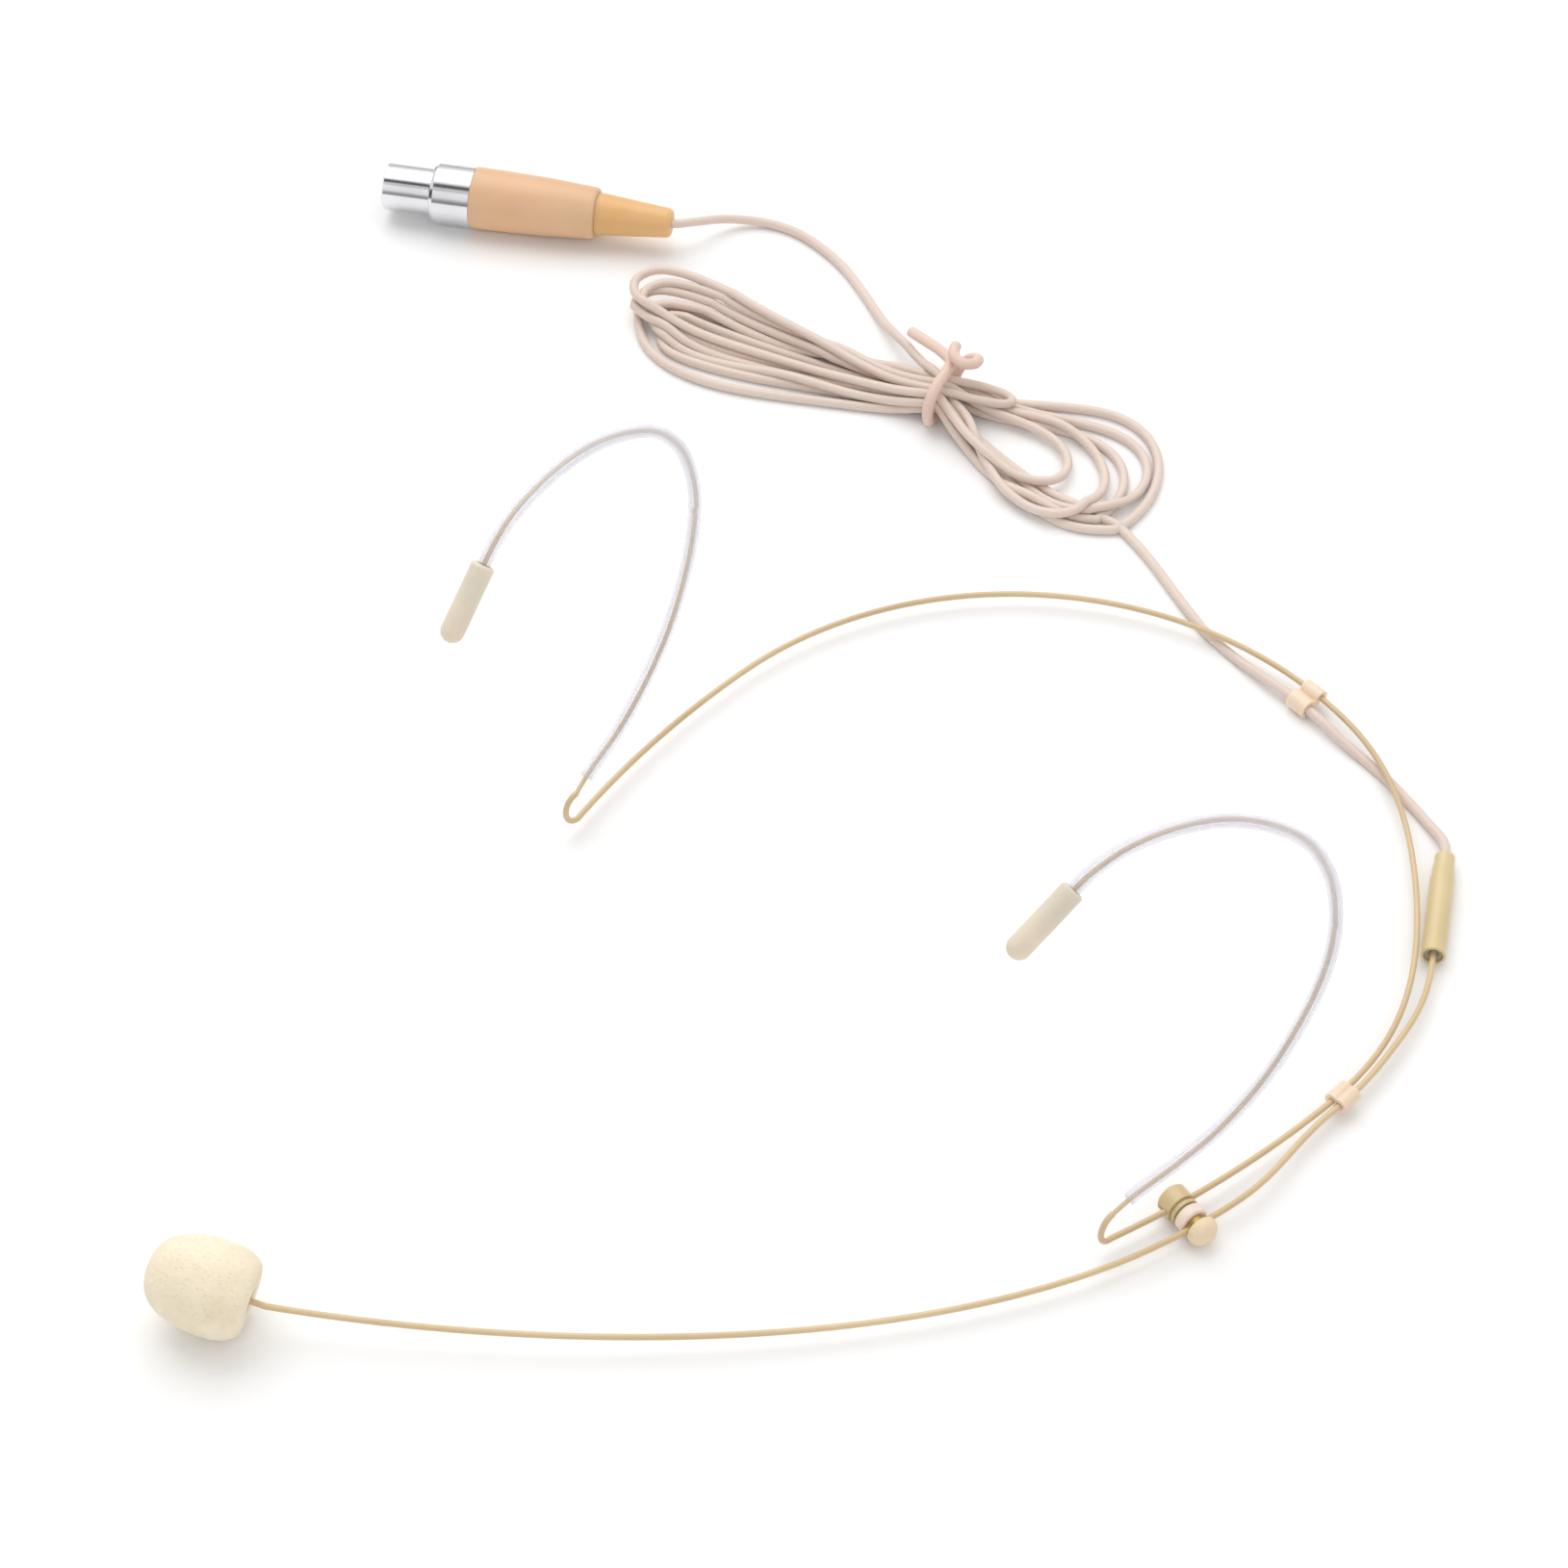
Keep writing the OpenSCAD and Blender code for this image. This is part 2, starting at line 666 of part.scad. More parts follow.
// Perforated front disc of the capsule.
module capsule_grille() {
    color("gray")
    at_capsule()
    translate([0, 0, capsule_len - 0.5])
    difference() {
        cylinder(d = capsule_d - 2 * housing_wall - 0.02, h = 0.4);
        for (a = [0 : 60 : 300]) rotate([0, 0, a]) translate([0.85, 0, -1]) cylinder(d = 0.4, h = 3);
        translate([0, 0, -1]) cylinder(d = 0.4, h = 3);
    }
}

// Foam barrel with a flat rear face, hollowed for the capsule.
module windscreen() {
    back = -foam_rear;
    widest = back + foam_len * 0.34;
    face = foam_face_d / 2;
    color("cornsilk")
    at_capsule()
    difference() {
        rotate_extrude()
        polygon(concat(
            [[0, back]],
            [for (a = [0 : 15 : 75]) [face + (foam_d / 2 - face) * sin(a), widest - (widest - back) * cos(a)]],
            [for (a = [0 : 10 : 80])
                [foam_d / 2 * pow(cos(a), 0.72), widest + (foam_front - widest) * pow(sin(a), 0.9)]],
            [[0, foam_front]]
        ));
        translate([0, 0, back - 1])
        cylinder(d = capsule_d + 2 * foam_play, h = foam_rear + 1 + capsule_len + foam_end_gap);
    }
}

// ---------- cable ----------

function plug_point(x, out, up) =
    [plug_tip[0], plug_tip[1], plug_z]
    + [cos(plug_yaw), sin(plug_yaw), 0] * x
    + [-sin(plug_yaw), cos(plug_yaw), 0] * out + [0, 0, up];

gland_face = ferrule_point(0, ferrule_len - gland_len + 0.5);
cable_stop = plug_point(boot_at - 6, 0, 0);

module cable_lead() {
    out = ferrule_point(0, ferrule_len + 0.2);
    color("linen")
    rod(concat([gland_face], smooth(concat([out], lead_route), 2)), cable_d, 8);
}

module cable_tail() {
    color("linen")
    rod(concat(smooth(concat(tail_route, [plug_point(plug_len + 0.4, 0, 0)]), 2),
        [plug_point(plug_len - 1, 0, 0), cable_stop]), cable_d, 8);
}

// The tie's own place at the hank's waist: X across the hank, Y up and Z along it.
module at_tie() {
    translate([hank_outline[1][0], hank_outline[1][1], tie_z])
    rotate([0, 0, hank_yaw])
    rotate([90, 0, 90])
    children();
}

// The whole hank, as the outer shape of its turns, drawn in where the tie holds it.
module cable_hank() {
    color("linen")
    difference() {
        linear_extrude(height = hank_h)
        for (i = [0 : len(hank_outline) - 2])
            hull() {
                for (c = [hank_outline[i], hank_outline[i + 1]])
                    translate([c[0], c[1]]) circle(r = c[2]);
            }
        at_tie()
        difference() {
            translate([-10, -8, -tie_d / 2 - tie_gap]) cube([20, 16, tie_d + 2 * tie_gap]);
            translate([-tie_half, -waist_r, -2]) cube([2 * tie_half, 2 * waist_r, 4]);
            for (x = [-tie_half, tie_half]) translate([x, 0, -2]) cylinder(r = waist_r, h = 4);
        }
    }
}

// Soft tie: a free end along the hank, then once round the waist.
module hank_tie() {
    color("mistyrose")
    at_tie()
    rod(concat(
        smooth([[4, tie_r + 0.9, -10.5], [3.6, tie_r + 1, -6.5], [2.4, tie_r + 0.8, -2.8],
                [0.6, tie_r + 0.15, -0.6], [-1.2, tie_r, 0]], 2),
        [for (a = [90 : 20 : 270]) [-tie_half + tie_r * cos(a), tie_r * sin(a), 0]],
        [for (a = [-90 : 20 : 50]) [tie_half + tie_r * cos(a), tie_r * sin(a), 0]]
    ), tie_d, 8);
}

// ---------- plug ----------

// The plug's own place: z = 0 is the tip of the nose, and +Z points back along it; +X is up.
module at_plug() {
    translate(plug_point(0, 0, 0))
    rotate([0, 0, plug_yaw])
    rotate([0, 90, 0])
    rotate([0, 0, 180])
    children();
}

module plug_shell() {
    color("gainsboro")
    at_plug()
    difference() {
        rotate_extrude()
        polygon([
            [0, 0], [nose_d / 2 - 0.35, 0], [nose_d / 2, 0.35], [nose_d / 2, collar_at - 0.1],
            [collar_d / 2 - 0.9, collar_at], [collar_d / 2 - 0.25, collar_at + 0.25],
            [collar_d / 2, collar_at + 0.8], [collar_d / 2, grip_at],
            [collar_d / 2 - 0.8, grip_at], [collar_d / 2 - 0.8, grip_at + spigot_len],
            [0, grip_at + spigot_len]
        ]);
        translate([0, 0, -1]) cylinder(d = shell_bore, h = collar_at + 1.8);
        translate([0, 0, collar_at + 0.8 - eps])
        cylinder(d = collar_d - 1.6 - 2 * shell_wall, h = collar_len + spigot_len + 1);
        on_latch_side() {
            translate([0, 0, latch_x]) rotate([0, 90, 0]) cylinder(d = button_d + 0.4, h = 8);
            translate([2, -0.9, tooth_x - 0.5]) cube([4, 1.8, tooth_len + 1]);
        }
    }
}

// Turns +X of the plug's own place to the side that carries the latch.
module on_latch_side() {
    rotate([0, 0, -90]) children();
}

module at_contacts() {
    for (a = [45 : 90 : 315]) rotate([0, 0, a]) translate([contact_r, 0, 0]) children();
}

// Moulded insert: four socket holes, a channel for the latch and two lugs for its pin.
module plug_insert() {
    color("dimgray")
    at_plug()
    difference() {
        union() {
            translate([0, 0, insert_front])
            cylinder(d = shell_bore - 0.1, h = collar_at + 0.7 - insert_front);
            translate([0, 0, collar_at]) cylinder(d = shell_bore - 0.5, h = insert_rear - collar_at);
            on_latch_side()
            for (y = [-1.5, 0.92])
                translate([1, y, insert_rear - 1]) cube([2.3, 0.58, latch_pin_x + 0.8 - insert_rear + 1]);
        }
        at_contacts() translate([0, 0, -1]) cylinder(d = 1.04, h = 20);
        on_latch_side() {
            translate([1.45, -0.9, 0]) cube([4, 1.8, insert_rear + 1]);
            translate([2, 0, latch_x]) rotate([0, 90, 0]) cylinder(d = button_d + button_room, h = 3);
            translate([latch_r, 2, latch_pin_x]) rotate([90, 0, 0]) cylinder(d = 0.6, h = 4);
        }
    }
}

module plug_contacts() {
    color("gold")
    at_plug()
    at_contacts()
    translate([0, 0, insert_front + 0.3])
    difference() {
        cylinder(d = 1, h = 14);
        translate([0, 0, -1]) cylinder(d = 0.7, h = 8);
    }
}

// Sprung lever: a tooth that locks in the mating socket, a push button, and a knuckle on the pin.
module latch_lever() {
    arm_in = latch_r - arm_t / 2;
    color("silver")
    at_plug()
    on_latch_side()
    difference() {
        union() {
            translate([arm_in, -arm_w / 2, tooth_x - 0.3]) cube([arm_t, arm_w, latch_pin_x - tooth_x + 0.3]);
            translate([arm_in, -0.7, tooth_x]) cube([nose_d / 2 - 0.1 - arm_in, 1.4, tooth_len]);
            translate([arm_in, 0, latch_x]) rotate([0, 90, 0])
            cylinder(d = button_d, h = collar_d / 2 + latch_press - arm_in);
            translate([latch_r, arm_w / 2, latch_pin_x]) rotate([90, 0, 0]) cylinder(d = 1.2, h = arm_w);
        }
        translate([latch_r, 2, latch_pin_x]) rotate([90, 0, 0]) cylinder(d = 0.6 + 2 * post_play, h = 4);
    }
}

module latch_pin() {
    color("silver")
    at_plug()
    on_latch_side()
    translate([latch_r, 1.5, latch_pin_x]) rotate([90, 0, 0]) cylinder(d = 0.6, h = 3);
}

// Plastic sleeve that screws over the shell's spigot and traps the boot with its rear lip.
module plug_sleeve() {
    front_d = collar_d + 0.1;
    bore = boot_d + 0.5;
    color("burlywood")
    at_plug()
    difference() {
        rotate_extrude()
        polygon([
            [0, grip_at + eps], [front_d / 2 - 0.1, grip_at + eps], [front_d / 2, grip_at + 0.3],
            [front_d / 2 - 0.02, grip_at + 4],
            [(front_d + grip_rear_d) / 4 + 0.12, grip_at + grip_len * 0.6],
            [grip_rear_d / 2, boot_at - 0.6], [grip_rear_d / 2 - 0.15, boot_at - 0.2],
            [grip_rear_d / 2 - 0.5, boot_at], [0, boot_at]
        ]);
        translate([0, 0, grip_at - 1]) cylinder(d = collar_d - 1.6 + 0.06, h = spigot_len + 1.3);
        translate([0, 0, grip_at + 1]) cylinder(d = bore, h = grip_len - 1 - grip_lip);
        translate([0, 0, grip_at + 1]) cylinder(d = boot_d + 0.06, h = grip_len + 1);
    }
}

// Tapered rubber boot with a flange inside the sleeve.
module plug_boot() {
    color("sandybrown")
    at_plug()
    difference() {
        rotate_extrude()
        polygon([
            [0, boot_at - 3], [boot_d / 2 + 0.2, boot_at - 3], [boot_d / 2 + 0.2, boot_at - grip_lip - 0.05],
            [boot_d / 2, boot_at - grip_lip - 0.05], [boot_d / 2, boot_at + 0.8],
            [boot_rear_d / 2, plug_len - 0.6], [boot_rear_d / 2 - 0.25, plug_len - 0.15],
            [boot_rear_d / 2 - 0.6, plug_len], [0, plug_len]
        ]);
        translate([0, 0, boot_at - 4]) cylinder(d = cable_d + 0.06, h = boot_len + 5);
    }
}

// Collet that grips the cable inside the sleeve.
module cable_clamp() {
    color("gray")
    at_plug()
    translate([0, 0, boot_at - 8])
    difference() {
        union() {
            cylinder(d = boot_d, h = 4.9);
            cylinder(d = boot_d + 0.3, h = 1);
        }
        translate([0, 0, 2]) cylinder(d = cable_d + 0.06, h = 6);
        translate([0, 0, -1]) cylinder(d = 1, h = 4);
    }
}

neck_wire();
hook_wire(1);  // left_hook_wire
hook_wire(-1);  // right_hook_wire
hook_sleeve(1);  // left_hook_sleeve
hook_sleeve(-1);  // right_hook_sleeve
tip_cap(1);  // left_tip_cap
tip_cap(-1);  // right_tip_cap
rear_clip();
side_clip();
clamp_base();
clamp_washer();
clamp_post();
clamp_ring();
clamp_cap();
boom_front();
boom_rear();
ferrule_shell();
ferrule_insert();
cable_gland();
capsule_housing();
capsule_element();
capsule_grille();
capsule_gasket();
windscreen();
cable_lead();
cable_hank();
cable_tail();
hank_tie();
plug_shell();
plug_insert();
plug_contacts();
latch_lever();
latch_pin();
plug_sleeve();
plug_boot();
cable_clamp();
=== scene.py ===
import math
import bpy
import bmesh
import numpy as np
from mathutils import Matrix, Vector, noise


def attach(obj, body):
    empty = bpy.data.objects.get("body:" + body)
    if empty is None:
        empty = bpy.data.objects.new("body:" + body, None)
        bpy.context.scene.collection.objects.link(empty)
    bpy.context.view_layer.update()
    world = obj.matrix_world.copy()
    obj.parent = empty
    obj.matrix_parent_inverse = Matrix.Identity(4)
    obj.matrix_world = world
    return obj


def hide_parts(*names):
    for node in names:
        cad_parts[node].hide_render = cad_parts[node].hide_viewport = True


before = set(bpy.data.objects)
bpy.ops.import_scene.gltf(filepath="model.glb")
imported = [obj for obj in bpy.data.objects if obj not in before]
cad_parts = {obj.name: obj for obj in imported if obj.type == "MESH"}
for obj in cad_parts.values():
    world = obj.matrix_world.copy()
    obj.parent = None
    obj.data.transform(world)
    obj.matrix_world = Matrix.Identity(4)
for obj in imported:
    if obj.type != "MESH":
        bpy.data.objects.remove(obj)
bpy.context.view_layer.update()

# ---------------------------------------------------------------------------
# Table and light. The headset lies on a plain white table under two large
# soft lamps, in an even white room.
looking_at = Vector((-0.04086, 0.03056, 0.0))
turn, rise, away = math.radians(46), math.radians(47), 0.7
towards_eye = Vector((math.sin(turn) * math.cos(rise), -math.cos(turn) * math.cos(rise), math.sin(rise)))
eye = bpy.data.objects.new("eye", bpy.data.cameras.new("eye"))
bpy.context.collection.objects.link(eye)
eye.location = looking_at + towards_eye * away
eye.rotation_mode = "QUATERNION"
eye.rotation_quaternion = towards_eye.to_track_quat("Z", "Y")
eye.data.sensor_width = 36
eye.data.lens = 108.3
eye.data.clip_start, eye.data.clip_end = 0.01, 20
bpy.context.scene.camera = eye

table = bpy.data.meshes.new("table")
table.from_pydata([(-3, -3, 0), (3, -3, 0), (3, 3, 0), (-3, 3, 0)], [], [(0, 1, 2, 3)])
table_top = bpy.data.objects.new("table", table)
bpy.context.collection.objects.link(table_top)
white = bpy.data.materials.new("table white")
white.use_nodes = True
board = white.node_tree.nodes["Principled BSDF"]
board.inputs["Base Color"].default_value = (0.93, 0.93, 0.93, 1)
board.inputs["Roughness"].default_value = 0.85
board.inputs["Specular IOR Level"].default_value = 0.1
table.materials.append(white)


def soft_lamp(name, place, aim_at, size, watts):
    lamp = bpy.data.objects.new(name, bpy.data.lights.new(name, "AREA"))
    lamp.data.shape, lamp.data.size, lamp.data.energy = "DISK", size, watts
    lamp.location = place
    lamp.rotation_mode = "QUATERNION"
    lamp.rotation_quaternion = (Vector(place) - Vector(aim_at)).to_track_quat("Z", "Y")
    bpy.context.collection.objects.link(lamp)


soft_lamp("main lamp", (-0.75, 0.35, 1.25), (-0.04, 0.0, 0.0), 1.6, 10)
soft_lamp("fill lamp", (0.85, -0.65, 1.0), (-0.04, 0.0, 0.0), 1.5, 4)

def shaded(tree, stops):
    """A colour ramp through its stops: each a place from 0 to 1, and a grey or a colour."""
    ramp = tree.nodes.new("ShaderNodeValToRGB")
    marks = ramp.color_ramp.elements
    marks[0].position, marks[1].position = stops[0][0], stops[-1][0]
    for at, _ in stops[1:-1]:
        marks.new(at)
    for at, shade in stops:
        mark = next(m for m in marks if abs(m.position - at) < 1e-5)
        mark.color = (*(shade if isinstance(shade, tuple) else (shade,) * 3), 1)
    return ramp


room = bpy.data.worlds.new("white room")
bpy.context.scene.world = room
room.use_nodes = True
walls = room.node_tree
direction = walls.nodes.new("ShaderNodeTexCoord")
split = walls.nodes.new("ShaderNodeSeparateXYZ")
shades = shaded(walls, ((0.0, (0.55, 0.55, 0.56)), (0.2, 0.62), (0.4, 0.95), (0.72, 1.0), (1.0, 1.0)))
walls.links.new(direction.outputs["Generated"], split.inputs[0])
walls.links.new(split.outputs["Z"], shades.inputs["Fac"])
# Two dark flags hang across the room, for the streaks in plated metal.
sideways = walls.nodes.new("ShaderNodeVectorMath")
sideways.operation = "DOT_PRODUCT"
sideways.inputs[1].default_value = (0.6, -0.8, 0)
flags = shaded(walls, ((0.0, 1.0), (0.6, 1.0), (0.64, 0.12), (0.72, 0.1), (0.76, 0.9), (0.8, 0.5),
                       (0.83, 1.0), (0.95, 1.0), (1.0, 0.2)))
centred = walls.nodes.new("ShaderNodeMath")
centred.operation = "MULTIPLY_ADD"
centred.inputs[1].default_value, centred.inputs[2].default_value = 0.5, 0.5
both = walls.nodes.new("ShaderNodeMixRGB")
both.blend_type = "MULTIPLY"
both.inputs["Fac"].default_value = 1.0
walls.links.new(direction.outputs["Generated"], sideways.inputs[0])
walls.links.new(sideways.outputs["Value"], centred.inputs[0])
walls.links.new(centred.outputs[0], flags.inputs["Fac"])
walls.links.new(shades.outputs["Color"], both.inputs["Color1"])
walls.links.new(flags.outputs["Color"], both.inputs["Color2"])
walls.links.new(both.outputs["Color"], walls.nodes["Background"].inputs["Color"])
walls.nodes["Background"].inputs["Strength"].default_value = 0.95
bpy.context.scene.view_settings.view_transform = "Standard"

# ---------------------------------------------------------------------------
# Cable. A limp, satin jacketed lead, 1.5 mm thick, that leaves the ferrule,
# is wound into a hank of six turns and goes on to the plug.
MM = 0.001
cable_d = 1.5


def through(points, steps):
    """A smooth line through the points, with so many steps from each to the next."""
    line = []
    for i in range(len(points) - 1):
        a, b, c, d = (points[min(max(i + k, 0), len(points) - 1)] for k in (-1, 0, 1, 2))
        for k in range(steps):
            t = k / steps
            line.append(0.5 * (2 * b + (c - a) * t + (2 * a - 5 * b + 4 * c - d) * t * t
                               + (3 * b - a - 3 * c + d) * t * t * t))
    return line + [points[-1]]


def drawn(name, points, thickness, body, fineness=4):
    """A round wire, tube or cord along points given in millimetres."""
    shape = bpy.data.curves.new(name, "CURVE")
    shape.dimensions = "3D"
    shape.bevel_depth = thickness / 2 * MM
    shape.bevel_resolution = fineness
    shape.use_fill_caps = True
    run = shape.splines.new("POLY")
    run.points.add(len(points) - 1)
    for knot, p in zip(run.points, points):
        knot.co = (p[0] * MM, p[1] * MM, p[2] * MM, 1)
    run.use_smooth = True
    drawing = bpy.data.objects.new("line of " + name, shape)
    bpy.context.collection.objects.link(drawing)
    evaluated = drawing.evaluated_get(bpy.context.evaluated_depsgraph_get())
    tube = bpy.data.meshes.new_from_object(evaluated)
    bpy.data.objects.remove(drawing)
    bpy.data.curves.remove(shape)
    piece = bpy.data.objects.new(name, tube)
    bpy.context.collection.objects.link(piece)
    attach(piece, body)
    return piece


# The band's back arc, and the ferrule beside it, set where the lead starts.
middle = Vector((-1.6, 41.0, 2.4))
band_r, band_draw, band_wire_d = 58.6, 1.9, 0.9
ferrule_d, ferrule_len = 3.6, 19.6
lie = math.radians(41.5)
toed = math.radians(41.5 - 5.9)
ferrule_r = band_r - band_draw + band_wire_d / 2 + 1.05 + ferrule_d / 2
ferrule_dir = Vector((math.sin(toed), -math.cos(toed), 0))
ferrule_mid = Vector((middle.x + ferrule_r * math.cos(lie), middle.y + ferrule_r * math.sin(lie),
                      ferrule_d / 2))


def ferrule_point(inwards):
    """A point on the ferrule's axis, so far in from its boom end."""
    return ferrule_mid + ferrule_dir * (ferrule_len / 2 - inwards)


plug_tip, plug_yaw = Vector((-181.5, 74.3, 0)), math.radians(34.6)
plug_z, plug_len, boot_at = 5.07, 48.7, 36.1
plug_dir = Vector((math.cos(plug_yaw), math.sin(plug_yaw), 0))


def plug_point(along, sideways=0.0, up=0.0):
    """A point of the plug, so far along it from its nose."""
    beside = Vector((-plug_dir.y, plug_dir.x, 0))
    return plug_tip + plug_dir * along + beside * sideways + Vector((0, 0, plug_z + up))


lead_route = [Vector(p) for p in (
    (36.6, 90.1, 1.6), (35, 91.3, 1.3), (32, 92.3, 1), (27, 93.7, 0.8), (21, 95, 0.8), (16, 95.6, 0.8),
    (11.8, 95.8, 1.2), (8.1, 96.2, 1.6), (5.2, 96.6, 1.6), (2.3, 96.9, 1.6), (-0.6, 97, 1.6),
    (-3.6, 97, 1.6), (-7.5, 97.2, 1.2), (-12, 97.6, 0.8), (-17, 98.2, 0.8), (-22, 99.3, 0.8),
    (-28.5, 101.5, 0.8), (-35, 104.2, 0.8), (-39.5, 105.6, 0.8), (-43.6, 106.4, 0.9))]
tail_route = [Vector(p) for p in (
    (-91.5, 108.8, 3.9), (-94.5, 109.9, 3.4), (-98.2, 111.1, 2.5), (-102.5, 112.7, 1.5),
    (-107, 114.6, 0.9), (-111.5, 116.3, 0.8), (-117.5, 118.1, 0.8), (-124, 118.9, 0.8),
    (-129.8, 118.5, 0.8), (-134.2, 116.7, 0.9), (-137.3, 113.7, 1.5), (-139, 110.2, 2.6),
    (-139.5, 107, 3.8), (-139.9, 104.6, 4.7))]

# The hank: the cable goes round the same way all the time, through the waist thirteen times.
waist = Vector((-82.2, 105.2, 3.9))
hank_yaw = math.radians(20)
along = Vector((math.cos(hank_yaw), math.sin(hank_yaw), 0))
across = Vector((-math.sin(hank_yaw), math.cos(hank_yaw), 0))


def by_waist(u, v, z):
    """A point so far along the hank and across it from the waist, at a height above the table."""
    return Vector((waist.x, waist.y, 0)) + along * u + across * v + Vector((0, 0, z))


# Places in the bundle at the waist, in the cable's order: across, and up.
places = [(-2.3, 2.5), (2.3, 2.5), (-0.8, 2.5), (0.8, 2.5), (-3.1, 3.9), (3.1, 3.9), (-1.55, 3.9),
          (1.55, 3.9), (0, 3.9), (0.8, 5.3), (-2.3, 5.3), (-0.8, 5.3), (2.3, 5.3)]
# Each bow, in millimetres from the waist: its end, its fullest points on both sides, and its height.
right_bows = [((39.2, -7), (28, 11.9), (29, -17.2), 0.9), ((35.3, -8), (27, 4.6), (27, -16), 2.2),
              ((37.8, -4), (30.5, 7.6), (27, -14), 2.9), ((33, -12), (22, 4.4), (25, -17.6), 3.8),
              ((26.5, -8), (19, 2.2), (19, -12.4), 4.6), ((14.4, 4.2), (9, 7.1), (9, 1.2), 5.9)]
left_bows = [((-54, -2), (-48, 3), (-38, -11.5), 0.9), ((-50.5, -3.4), (-45, 1), (-44, -8), 1.7),
             ((-51.8, -2), (-46, 2.4), (-46, -6.6), 2.6), ((-54.3, -0.6), (-49, 4), (-48, -5.2), 3.3),
             ((-53.5, 0.7), (-48, 5.2), (-48, -3.8), 4.3), ((-55.6, 2), (-50, 6.6), (-50, -2.6), 5.2)]


def bow(leaves, comes_back, bow_end, first, second, height):
    """The points of one bow, from its place at the waist round its end to its next place."""
    halfway, from_place, from_bow = 0.5, 0.42, 0.55
    points = [by_waist(first[0] * halfway, leaves[0] * from_place + first[1] * from_bow,
                       (leaves[1] + height) / 2)]
    points.append(by_waist(first[0], first[1], height))
    for full in (first, second):
        u, v = full[0] + (bow_end[0] - full[0]) * 0.72, bow_end[1] + (full[1] - bow_end[1]) * 0.7
        points.append(by_waist(u, v, height))
        if full is first:
            points.append(by_waist(bow_end[0], bow_end[1], height))
    points.append(by_waist(second[0], second[1], height))
    points.append(by_waist(second[0] * halfway, comes_back[0] * from_place + second[1] * from_bow,
                           (comes_back[1] + height) / 2))
    return points


in_tie = 1.4
wound = [by_waist(24, -11, 0.8), by_waist(12, -6, 1.3)]
for turn_no in range(len(left_bows)):
    a, b, c = places[2 * turn_no], places[2 * turn_no + 1], places[2 * turn_no + 2]
    bow_end, upper, lower, height = left_bows[turn_no]
    wound += [by_waist(in_tie, *a), by_waist(-in_tie, *a)] + bow(a, b, bow_end, lower, upper, height)
    bow_end, upper, lower, height = right_bows[turn_no]
    if turn_no == len(right_bows) - 1:      # the last, small bow is gone round the other way
        upper, lower = lower, upper
    wound += [by_waist(-in_tie, *b), by_waist(in_tie, *b)] + bow(b, c, bow_end, upper, lower, height)
wound += [by_waist(in_tie, *places[-1]), by_waist(-in_tie, *places[-1])]


def flowing(points, steps):
    """A smooth line through points that lie at uneven distances, with no kinks where they are close."""
    line = []
    for i in range(len(points) - 1):
        b, c = points[i], points[i + 1]
        a = points[i - 1] if i else b + (b - c)
        d = points[i + 2] if i + 2 < len(points) else c + (c - b)
        t1 = math.sqrt((b - a).length)
        t2 = t1 + math.sqrt((c - b).length)
        t3 = t2 + math.sqrt((d - c).length)
        for k in range(steps):
            t = t1 + (t2 - t1) * k / steps
            ab, bc = a.lerp(b, t / t1), b.lerp(c, (t - t1) / (t2 - t1))
            cd = c.lerp(d, (t - t2) / (t3 - t2))
            line.append(ab.lerp(bc, t / t2).lerp(bc.lerp(cd, (t - t1) / (t3 - t1)), (t - t1) / (t2 - t1)))
    return line + [points[-1]]


def spaced(points, gap):
    """The same line with its points at even distances."""
    line, out, left_over = flowing(points, 14), [points[0]], 0.0
    for a, b in zip(line, line[1:]):
        step = (b - a).length
        at = gap - left_over
        while at <= step:
            out.append(a + (b - a) * (at / step))
            at += gap
        left_over = step - (at - gap)
    return out


def settled(points, thick, gap, fixed, rounds):
    """The cable's points after its strands are pushed apart, smoothed and let down on the table.

    The points marked as fixed stay where they are, also where strands lie in each other."""
    p = np.array([tuple(v) for v in points])
    home = p.copy()
    count = len(p)
    free = (~fixed).astype(float)[:, None]
    far = max(3, int(2.2 * thick / gap))
    look_again, reach = 6, 1.9
    push_share, lift, crowding = 0.8, 1.25, 0.55
    homing, sinking = 0.035, 0.018
    for k in range(rounds):
        if k % look_again == 0:
            d2 = ((p[:, None, :] - p[None, :, :]) ** 2).sum(2)
            i, j = np.nonzero(d2 < (thick * reach) ** 2)
            keep = j - i > far
            i, j = i[keep], j[keep]
        apart = p[j] - p[i]
        dist = np.sqrt((apart ** 2).sum(1)) + 1e-9
        close = dist < thick
        a, b = i[close], j[close]
        push = apart[close] / dist[close][:, None] * ((thick - dist[close]) / 2)[:, None] * push_share
        push[:, 2] *= lift
        move = np.zeros_like(p)
        hits = np.zeros(count)
        np.add.at(move, a, -push)
        np.add.at(move, b, push)
        np.add.at(hits, a, 1)
        np.add.at(hits, b, 1)
        move /= np.maximum(1, hits * crowding)[:, None]
        bend = np.zeros_like(p)
        bend[1:-1] = (p[:-2] + p[2:]) / 2 - p[1:-1]
        ease = 0.3 if k < rounds - 10 else 0.1
        p += free * (move + bend * ease)
        p[:, :2] += free * (home - p)[:, :2] * (homing if k < rounds * 0.7 else 0.0)
        if k < rounds * 0.8:
            p[:, 2] -= free[:, 0] * sinking
        low = (p[:, 2] < thick / 2) & ~fixed
        p[low, 2] = thick / 2
    return [Vector(v) for v in p]


gap = 1.2
# The ends of the line: inside the ferrule, and in the plug's sleeve ahead of its boot.
in_gland, in_plug = ferrule_point(ferrule_len - 2.5), plug_point(boot_at - 6)
whole = spaced([in_gland, ferrule_point(ferrule_len + 0.2)] + lead_route + wound + tail_route
               + [plug_point(plug_len + 0.4), in_plug], gap) + [in_plug]
